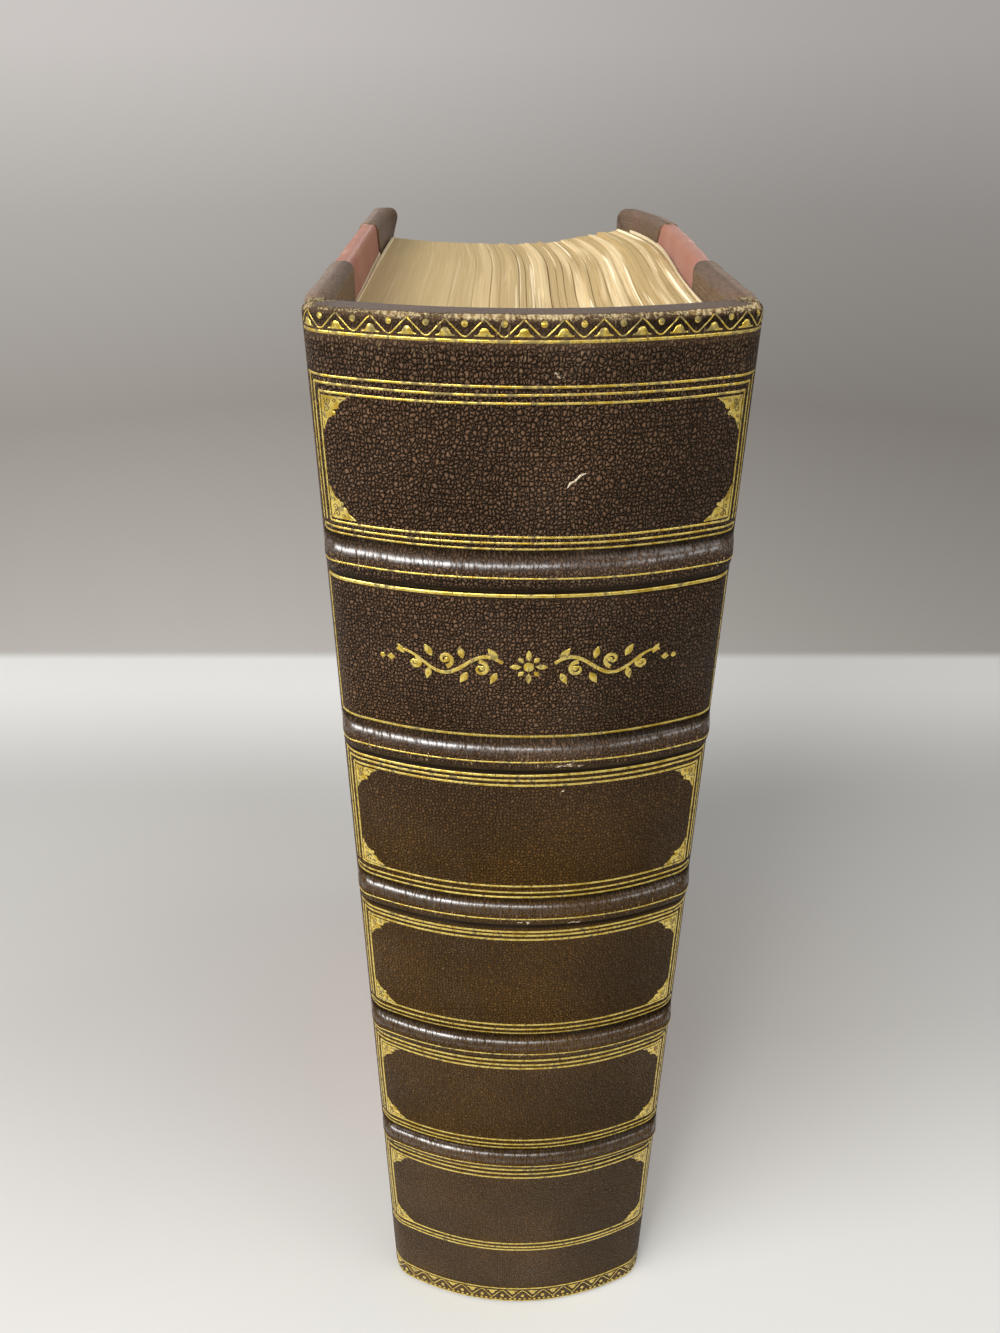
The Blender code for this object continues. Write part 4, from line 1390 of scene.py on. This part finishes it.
# %% One covering piece
def cover_piece(side, name, shape, material, node, lift, skin_thickness):
    distance = shape.verts.layers.float["gap"]
    hidden = shape.verts.layers.float["inside"]
    shape.normal_update()
    shape.verts.ensure_lookup_table()
    co = np.array([v.co for v in shape.verts])
    normals = np.array([v.normal for v in shape.verts])
    gap = np.array([v[distance] for v in shape.verts])
    inside = np.array([v[hidden] for v in shape.verts])
    turned = inside == 1.0
    clear = smooth((co[:, 1] - 0.0008) / 0.0040)
    co = co + normals * (lift * clear)[:, None]
    from_end = np.minimum(co[:, 2], BOARD_HEIGHT - co[:, 2])
    from_corner = np.hypot(BOARD_DEPTH - co[:, 1], from_end)
    outer_edge = np.where(inside == 0.0, 1.0, 0.35)
    edge_rub = np.exp(-gap / 0.0010) * outer_edge
    near_seam = np.exp(-((np.abs(co[:, 1] - JOINT_LEATHER) / 0.003) ** 2))
    rub = 0.32 * edge_rub + 0.66 * np.exp(-((from_corner / 0.0050) ** 2)) * outer_edge
    rub = rub + 0.16 * edge_rub * near_seam
    crushed = np.exp(-((from_corner / 0.0065) ** 2))
    wave = ripple(co[:, 1] + co[:, 0], co[:, 2], 40 + SIDES[side], 0.011)
    co = co + normals * (0.00010 * clear * wave + 0.00030 * crushed * wave)[:, None]
    co[:, 0] = co[:, 0] + crushed * np.where(turned, -BUMPED[side], 0.0003)
    x, y, z = co.T
    upper = z > BOARD_HEIGHT / 2
    at_head = turned & upper & (BOARD_HEIGHT - z < BOARD_DEPTH - y)
    at_tail = turned & (z < BOARD_DEPTH - y) & (z < BOARD_HEIGHT / 2)
    u = np.where(turned & ~at_head & ~at_tail, BOARD_DEPTH + COVER_THICKNESS + gap, y)
    v = np.where(at_head, BOARD_HEIGHT + COVER_THICKNESS + gap, z)
    v = np.where(at_tail, -COVER_THICKNESS - gap, v)
    points = on_board(side, x, y, np.maximum(z, 0.0))
    faces = [[vert.index for vert in face.verts] for face in shape.faces]
    if side == "rear":
        faces = [list(reversed(face)) for face in faces]
    shape.free()
    turned_in = np.where(x < -0.0006, 0.55, 0.0)
    marks = {"rub": rub, "polish": np.maximum(0.60 * edge_rub, turned_in)}
    marks["shine"] = np.maximum(0.45 * edge_rub, 0.25 * turned_in)
    marks["strain"] = 0.20 * edge_rub
    # Painted shade on the turned-in leather.
    marks["shade_and_grime"] = np.where(turned, 0.35, 0.0)
    piece = new_piece(name, points, faces, material, together(u, v), marks)
    give_thickness(piece, skin_thickness)
    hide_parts(node)
    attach(piece, side + "_cover")
    return piece


# %% Cutting and bending all the coverings
DIAGONAL = math.sqrt(0.5)
LEATHER_LIFT, CLOTH_LIFT = 0.00042, 0.00012


def corner_plane(at_head, leg, keep_corner):
    """A point and a direction for the slanted seam of one corner."""
    level = BOARD_HEIGHT if at_head else 0.0
    point = (0.0, BOARD_DEPTH - leg, level)
    towards = (0.0, DIAGONAL, DIAGONAL if at_head else -DIAGONAL)
    if keep_corner:
        towards = tuple(-t for t in towards)
    return point, towards


for side in SIDES:
    sheet = wrapping()
    cut(sheet, (0.0, JOINT_LEATHER + 0.0010, 0.0), (0.0, 1.0, 0.0))
    cover_piece(
        side, side + "_joint_skin", sheet, cover_morocco,
        side + "_joint_leather", LEATHER_LIFT, 0.0006,
    )
    sheet = wrapping()
    cut(sheet, (0.0, JOINT_LEATHER, 0.0), (0.0, -1.0, 0.0))
    cut(sheet, *corner_plane(True, CORNER_LEG, False))
    cut(sheet, *corner_plane(False, CORNER_LEG, False))
    cover_piece(
        side, side + "_cloth", sheet, salmon_cloth,
        side + "_cloth_side", CLOTH_LIFT, 0.0003,
    )
    for at_head, end_name in ((True, "head"), (False, "tail")):
        sheet = wrapping()
        cut(sheet, *corner_plane(at_head, CORNER_LEG + 0.0014, True))
        cover_piece(
            side, f"{side}_{end_name}_corner_skin", sheet, cover_morocco,
            f"{side}_corner_{end_name}", LEATHER_LIFT, 0.0006,
        )

# %% [markdown]
# ## Endpapers
#
# The pastedown hides the raw edges of the turned-in leather. It is a thin sheet with a
# faint ripple, on the inside of each board. The free leaf beside it stands by the pages.


# %% Pastedowns
def sheet_piece(name, points, material, thickness, uv, flip):
    faces = grid_faces(*points.shape[:2], flip)
    piece = new_piece(name, points, faces, material, uv)
    give_thickness(piece, thickness, 0.0)
    return piece


for side in SIDES:
    margin = TURN_IN - 0.0012
    along = np.linspace(0.0006, BOARD_DEPTH - margin, 60)
    levels = np.linspace(margin, BOARD_HEIGHT - margin, 90)
    A, Z = np.meshgrid(along, levels)
    ragged = 0.0003 * ripple(A, Z, 51, 0.03)
    A = A + ragged * smooth((A - 0.10) / 0.03)
    inward = -(COVER_THICKNESS + 0.00012) + 0.00005 * ripple(A, Z, 52, 0.02)
    piece = sheet_piece(
        side + "_paste_paper",
        on_board(side, inward, A, Z),
        end_paper,
        0.00025,
        together(A, Z),
        side == "front",
    )
    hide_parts(side + "_pastedown")
    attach(piece, side + "_cover")

# %% [markdown]
# ## The pages
#
# A thousand leaves sewn in gatherings make one block, rounded at the back and hollow at
# the fore-edge. In plan, a patch is stretched between four edges: the back, the hollow
# and the two sides. Across it, columns of vertices follow the gatherings, each with its
# own height and a narrow groove beside it. The head is lower on the left and rises on
# the right, where the last gatherings have slipped and wander.

# %% Gatherings
PAGES_TOP = 0.2443
LEFT_TOP, RIGHT_TOP = 0.24325, 0.24545
TAIL_SQUARE = 0.0050
PAGES_DEPTH = BOARD_DEPTH - 0.0050
PAGES_INSET = SPINE_SKIN + 0.0002 + 0.0012 + 0.0002
PAGES_HALF = HALF - COVER_THICKNESS - 0.0004 - 0.0004
HOLLOW = 0.0135
BOARD_AIR = 0.00045
GATHERINGS = 44
random = np.random.default_rng(11)
thick = random.uniform(0.7, 1.3, GATHERINGS)
bounds_p = np.r_[0, np.cumsum(thick)] / thick.sum()
SHARES = np.array([0.0, 0.08, 0.30, 0.55, 0.80, 0.93])
within = bounds_p[:-1, None] + SHARES * np.diff(bounds_p)[:, None]
page_columns = np.append(within, 1.0)
group_of = np.append(np.repeat(np.arange(GATHERINGS), len(SHARES)), GATHERINGS - 1)
inner_of = np.append(np.tile(SHARES, GATHERINGS), 0.0)
print("columns across the pages", len(page_columns))


# %% The block in plan
def back_point(angle, inset):
    flat = np.abs(angle) <= SHOULDER_START
    centre_x = np.where(flat, 0.0, np.sign(angle) * FLAT_HALF)
    centre_y = np.where(flat, BACK_RADIUS, JOINT_Y)
    reach = np.where(flat, BACK_RADIUS, SHOULDER_RADIUS) - inset
    return together(centre_x + reach * np.sin(angle), centre_y - reach * np.cos(angle))


def page_side(side, s):
    """The outermost leaf on one side, from the shoulder (s 0) to the fore-edge (s 1)."""
    along = PAGES_DEPTH * s
    slack = 0.0004 * np.sin(math.pi * s) if side == "front" else 0.00125 * smooth(s)
    out = HALF - COVER_THICKNESS + warp(side, along) - BOARD_AIR - slack
    out = out - 0.0006 * smooth((0.16 - s) / 0.16)
    return together(SIDES[side] * out, JOINT_Y + along)


def along_line(points, share):
    lengths = lengths_along(points)
    return together(*(np.interp(share * lengths[-1], lengths, points[:, k]) for k in (0, 1)))


steps = np.linspace(0, 1, 60)
right_side = np.vstack([back_point(np.radians([78.0]), PAGES_INSET), page_side("front", steps)])
left_side = np.vstack([back_point(np.radians([-78.0]), PAGES_INSET), page_side("rear", steps)])
right_end, left_end = right_side[-1], left_side[-1]
chord = (right_end[0] - left_end[0]) / 2
arc_radius = (chord**2 + HOLLOW**2) / (2 * HOLLOW)
opening = math.asin(chord / arc_radius)
swing = np.linspace(-opening, opening, 80)
hollow_arc = together(
    (right_end[0] + left_end[0]) / 2 + arc_radius * np.sin(swing),
    right_end[1] + arc_radius - HOLLOW - arc_radius * np.cos(swing),
)
back_arc = back_point(np.radians(np.linspace(-78, 78, 120)), PAGES_INSET)


def page_plan(p, s):
    """(x, y) of the leaf at share p across the block and s from back to fore-edge."""
    back = along_line(back_arc, p)
    fore = along_line(hollow_arc, p)
    left = along_line(left_side, s)
    right = along_line(right_side, s)
    p, s = p[..., None], s[..., None]
    flat = (1 - s) * back + s * fore + (1 - p) * left + p * right
    corners = (1 - s) * ((1 - p) * back_arc[0] + p * back_arc[-1])
    corners = corners + s * ((1 - p) * hollow_arc[0] + p * hollow_arc[-1])
    return flat - corners


# %% Heights of head and tail
group_lift = random.uniform(-1, 1, GATHERINGS)
group_phase = random.uniform(0, 2 * math.pi, GATHERINGS)
group_pull = random.uniform(-1, 1, GATHERINGS)


def page_columns_at(s):
    """The leaves' share across, wandering a little along their length."""
    p = np.broadcast_to(page_columns, s.shape)
    loose = smooth((p - 0.30) / 0.5) * np.sin(math.pi * p)
    wander = 0.0022 * np.sin(2.2 * math.pi * s + 5.0 * p) + 0.002 * np.sin(7 * s + 23 * p)
    return p + loose * wander * np.sin(math.pi * s)


def head_level(s):
    p = np.broadcast_to(page_columns, s.shape)
    loose = 0.06 + 0.94 * smooth((p - 0.22) / 0.45)
    rise = 0.0021 * smooth((p - 0.55) / 0.42)
    lift = group_lift[group_of] * 0.00020
    wavy = 0.00016 * np.sin(3.0 * s + group_phase[group_of])
    groove = np.where(inner_of == 0.0, -0.00024, np.where(inner_of == 0.08, 0.00010, 0.0))
    dome = 0.00007 * np.sin(math.pi * inner_of)
    return LEFT_TOP + rise + (lift + wavy + groove + dome) * loose + 0 * s


def tail_level(s):
    lift = -group_lift[group_of] * 0.00008
    groove = np.where(inner_of == 0.0, 0.00018, 0.0)
    return TAIL_SQUARE + 0.0003 + lift + groove + 0 * s


def fore_pull():
    """How far each gathering slips forward at the fore-edge."""
    groove = np.where(inner_of == 0.0, -0.00030, 0.0)
    return 0.00022 * group_pull[group_of] + groove


# %% The closed block
S_STEPS = np.r_[np.linspace(0, 0.9, 26), np.linspace(0.93, 1.0, 8)]
Z_STEPS = np.linspace(0, 1, 26)
ACROSS = 2 * PAGES_HALF * page_columns
S, _ = np.meshgrid(S_STEPS, page_columns, indexing="ij")
plan = page_plan(page_columns_at(S), S)
plan[..., 1] += fore_pull() * smooth((S - 0.9) / 0.1)
head = together(plan[..., 0], plan[..., 1], head_level(S))
foot = together(plan[..., 0], plan[..., 1], tail_level(S))
pages = Pattern()
uv_plan = together(ACROSS, S * PAGES_DEPTH)
pages.grid(head, uv_plan)
pages.grid(foot, uv_plan + np.array([0.0, 0.3]), flip=True)
up_the_wall = Z_STEPS[:, None] * 0.24 + 0.6
for line, flat_u, flip in (
    (-1, ACROSS, True),
    (0, ACROSS, False),
    (np.s_[:, 0], 0.0004 + 0 * S_STEPS, True),
    (np.s_[:, -1], ACROSS[-1] + 0 * S_STEPS, False),
):
    wall = foot[line] + (head[line] - foot[line]) * Z_STEPS[:, None, None]
    pages.grid(wall, together(flat_u, up_the_wall), flip)
points = np.array(pages.points) + np.array([BOOK_X, BOOK_Y, 0.0])
page_block = new_piece("page_block", points, pages.faces, page_edges, pages.uv)
shape = bmesh.new()
shape.from_mesh(page_block.data)
bmesh.ops.remove_doubles(shape, verts=shape.verts[:], dist=1e-7)
bmesh.ops.recalc_face_normals(shape, faces=shape.faces[:])
shape.to_mesh(page_block.data)
shape.free()
page_block.data.shade_smooth()
page_block.data.set_sharp_from_angle(angle=math.radians(50))
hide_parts("text_block")
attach(page_block, "root")
print("page block faces", len(page_block.data.polygons))

# %% [markdown]
# The free leaves lie against the block and stand a hair above it, and their cut edges
# show as bright lines beside it. The second one parts a little towards the fore-edge.

# %% Free leaves
for side in SIDES:
    sign = SIDES[side]
    for number in range(2):
        out = 0.00006 + 0.00016 * number
        s_line = np.linspace(0.05, 0.997, 50)
        edge = page_side(side, s_line)
        part = 0.00030 * number * smooth((s_line - 0.35) / 0.65)
        x = BOOK_X + edge[:, 0] + sign * (out + part)
        y = BOOK_Y + edge[:, 1]
        top_z = LEFT_TOP if side == "rear" else RIGHT_TOP
        top_z = top_z + 0.00025 + 0.0001 * np.sin(9 * s_line + number)
        levels = np.linspace(0, 1, 30)[:, None]
        z = TAIL_SQUARE + 0.0002 + levels * (top_z - TAIL_SQUARE - 0.0002)
        name = f"{side}_free_leaf" if number == 0 else f"{side}_free_leaf_{number + 1}"
        leaf = sheet_piece(
            name, together(x, y, z), leaf_paper, 0.00016, together(y, z),
            side == "front",
        )
        if number == 0:
            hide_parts(side + "_flyleaf")
        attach(leaf, "root")

# %% [markdown]
# ## Joints that bend
#
# At each joint one skin runs from the back on to the board, and inside, one sheet of
# paper runs from the free leaf to the pastedown. Both must bend when the cover opens, so
# each is a thin strip that blends from the root body to the cover.


# %% Leather over the joints
def cap_profile(inset_end):
    """(inset, height) pairs from the tail's top face, up the outside, to the head's."""
    edge = CAP_EDGE_RADIUS
    angles = np.linspace(0, QUARTER, 6)
    turn = [(edge - edge * math.sin(a), edge - edge * math.cos(a)) for a in angles]
    low = [(i, 0.0) for i in np.linspace(inset_end, edge, 5)[:-1]] + turn
    high = [(i, BOARD_HEIGHT - z) for i, z in reversed(low)]
    middle = [(0.0, z) for z in np.linspace(edge, BOARD_HEIGHT - edge, 90)[1:-1]]
    return np.array(low + middle + high)


for side in SIDES:
    sign = SIDES[side]
    profile = cap_profile(0.0031)
    spots = np.array([-2.6, -2.1, -1.5, -1.0, -0.5, 0.0, 0.5, 1.0, 1.5, 2.1, 2.6]) * MM
    lifts = np.interp(np.abs(spots), [0.0010, 0.0015, 0.0021, 0.0026], [0.14, 0.12, 0.06, -0.12])
    lifts = lifts * MM
    inset, z = profile.T[:, :, None]
    way_up = np.where(z > BOARD_HEIGHT / 2, 1, -1)
    on_top = np.minimum(1.0, inset / CAP_EDGE_RADIUS)
    turn = np.clip(QUARTER + spots / SHOULDER_RADIUS, 0, QUARTER)
    reach = SHOULDER_RADIUS - inset + lifts * np.sqrt(1 - on_top**2)
    past = np.maximum(spots, 0.0)
    x = FLAT_HALF + reach * np.sin(turn) + warp(side, past) * (spots > 0)
    y = JOINT_Y - reach * np.cos(turn) + past
    level = np.maximum(z + way_up * lifts * on_top, 0.0)
    rub_strip = 0.12 + 0.30 * np.exp(-((spots / 0.0010) ** 2))
    rub_strip = rub_strip + 0.35 * smooth((z - 0.246) / 0.004)
    marks = {"polish": 0.35, "shine": 0.20, "rub": rub_strip, "strain": 0.25}
    # Painted shade: the joint on the right is darker.
    marks["shade_and_grime"] = 0.10 if side == "rear" else 0.34
    joint_strip = new_piece(
        side + "_joint_strip",
        together(BOOK_X + sign * x, BOOK_Y + y, level),
        grid_faces(len(profile), len(spots), flip=side == "rear"),
        spine_morocco,
        together(UV_MARGIN[0] + sign * (BACK_HALF + spots), z + inset + UV_MARGIN[1]),
        marks,
    )
    axis_y = BOOK_Y + JOINT_Y + 0.00015
    x = BOOK_X + sign * HALF
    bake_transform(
        joint_strip, "root", side + "_cover",
        start=(x, axis_y - 0.0002, 0.1), end=(x, axis_y + 0.0024, 0.1),
    )

# %% Paper over the inner joints
for side in SIDES:
    sign = SIDES[side]
    inner_face = HALF - COVER_THICKNESS
    leaf_x = PAGES_HALF + 0.00016
    leg = np.linspace(0.012, 0.0006, 10)
    fold = np.linspace(0, 1, 16)[1:-1]
    on_paper = inner_face - 0.00030 + warp(side, leg[::-1])
    xs = np.r_[
        np.interp(leg, [0, 0.012], [leaf_x, leaf_x + 0.0001]),
        leaf_x + (on_paper[0] - leaf_x) * fold,
        on_paper,
    ]
    ys = np.r_[leg, 0.0006 - 0.00035 * np.sin(math.pi * fold), leg[::-1]]
    levels = np.linspace(TURN_IN, BOARD_HEIGHT - TURN_IN, 60)
    flat_way = np.linspace(0, 0.025, len(xs))
    hinge = new_piece(
        side + "_paper_hinge",
        together(BOOK_X + sign * xs, BOOK_Y + JOINT_Y + ys, levels[:, None]),
        grid_faces(len(levels), len(xs), flip=side == "rear"),
        end_paper,
        together(flat_way, levels[:, None]),
    )
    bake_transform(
        hinge, "root", side + "_cover",
        start=(BOOK_X + sign * (leaf_x + 0.0001), 0, 0.1),
        end=(BOOK_X + sign * on_paper[0], 0, 0.1),
    )

# %% [markdown]
# ## Endbands
#
# Silk in two colours is wound round a cord at head and tail. The path is a curve along
# the back of the pages. The tree puts a small ring at every step of it, turned to the
# path, and paints the rings in turns with two silks.

# %% The tree that winds silk
silks = {"First Silk": "Material", "Second Silk": "Material"}
inputs = {"Path": "Geometry", "Thread": 0.0, "Radius": 0.0, **silks}
winder, given, out = new_group("wind_silk", inputs, ("Endband",), "Geometry")
spaced = {"Curve": given["Path"], "Length": given["Thread"]}
spaced = winder.add("GeometryNodeResampleCurve", spaced, mode="LENGTH")[0]
tangent = {"Vector": winder.add("GeometryNodeInputTangent")[0]}
facing = winder.add("FunctionNodeAlignEulerToVector", tangent, axis="Z")[0]
ring_path, section = (
    winder.add("GeometryNodeCurvePrimitiveCircle", {"Resolution": count, "Radius": radius})[0]
    for count, radius in ((14, given["Radius"]), (5, winder.times(given["Thread"], 0.62)))
)
ring = {"Curve": ring_path, "Profile Curve": section}
ring = winder.add("GeometryNodeCurveToMesh", ring)[0]
rings = {"Points": spaced, "Instance": ring, "Rotation": facing}
rings = winder.add("GeometryNodeInstanceOnPoints", rings)[0]
turn_by_turn = winder.calc("MODULO", winder.add("GeometryNodeInputIndex")[0], 6.0)
is_second = {0: turn_by_turn, 1: 2.5}
is_second = winder.add("FunctionNodeCompare", is_second, operation="GREATER_THAN")[0]
stored = {"Geometry": rings, "Name": "second", "Value": is_second}
kinds = {"data_type": "BOOLEAN", "domain": "INSTANCE"}
stored = winder.add("GeometryNodeStoreNamedAttribute", stored, **kinds)[0]
band = winder.add("GeometryNodeRealizeInstances", {0: stored})[0]
picked = winder.add("GeometryNodeInputNamedAttribute", {"Name": "second"}, data_type="BOOLEAN")
for silk, chosen in (("First Silk", {}), ("Second Silk", {"Selection": picked["Attribute"]})):
    painted = {"Geometry": band, "Material": given[silk], **chosen}
    band = winder.add("GeometryNodeSetMaterial", painted)[0]
winder.feed(out[0], winder.add("GeometryNodeSetShadeSmooth", {"Geometry": band})[0])

# %% Both endbands
for name, level, node in (
    ("head_endband", PAGES_TOP + 0.0010, "head_band"),
    ("tail_endband", TAIL_SQUARE - 0.0012, "tail_band"),
):
    turns = np.radians(np.linspace(-52, 52, 60))
    path = back_point(turns, PAGES_INSET + 0.0017)
    curve = bpy.data.curves.new(name + "_path", "CURVE")
    curve.dimensions = "3D"
    spline = curve.splines.new("POLY")
    spline.points.add(len(path) - 1)
    for point, (x, y) in zip(spline.points, path):
        point.co = (BOOK_X + x, BOOK_Y + y, level, 1.0)
    path_object = put_in_scene(name + "_path", curve)
    settings = {"Thread": 0.00042, "Radius": 0.0013}
    settings.update({"First Silk": gold_silk, "Second Silk": dark_silk})
    band = grown(path_object, winder, settings, name)
    bpy.data.objects.remove(path_object, do_unlink=True)
    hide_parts(node)
    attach(band, "root")
    print(name, "faces", len(band.data.polygons))

# %% [markdown]
# ## Hidden pieces
#
# The millboards, the paper hollow and the hard cores under the bands keep the CAD
# model's shapes. They show only when the covers are open or at the edges, so they get
# the board and paper finishes in their material slots.

# %% Finishes for the carried-over nodes
carried = {"spine_lining": hollow_paper}
for side in SIDES:
    carried[side + "_board"] = grey_board
for number in range(1, 6):
    carried[f"band_core_{number}"] = grey_board
for name, material in carried.items():
    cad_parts[name].material_slots[0].material = material
print("carried over", sorted(carried))

# %% Sizes and finish
seen_box = [list(corner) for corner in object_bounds()]
for axis, name in enumerate("xyz"):
    cad_size = CAD_BOX[1][axis] - CAD_BOX[0][axis]
    seen_size = seen_box[1][axis] - seen_box[0][axis]
    print(name, "CAD", round(cad_size / MM, 2), "visual", round(seen_size / MM, 2), "mm")
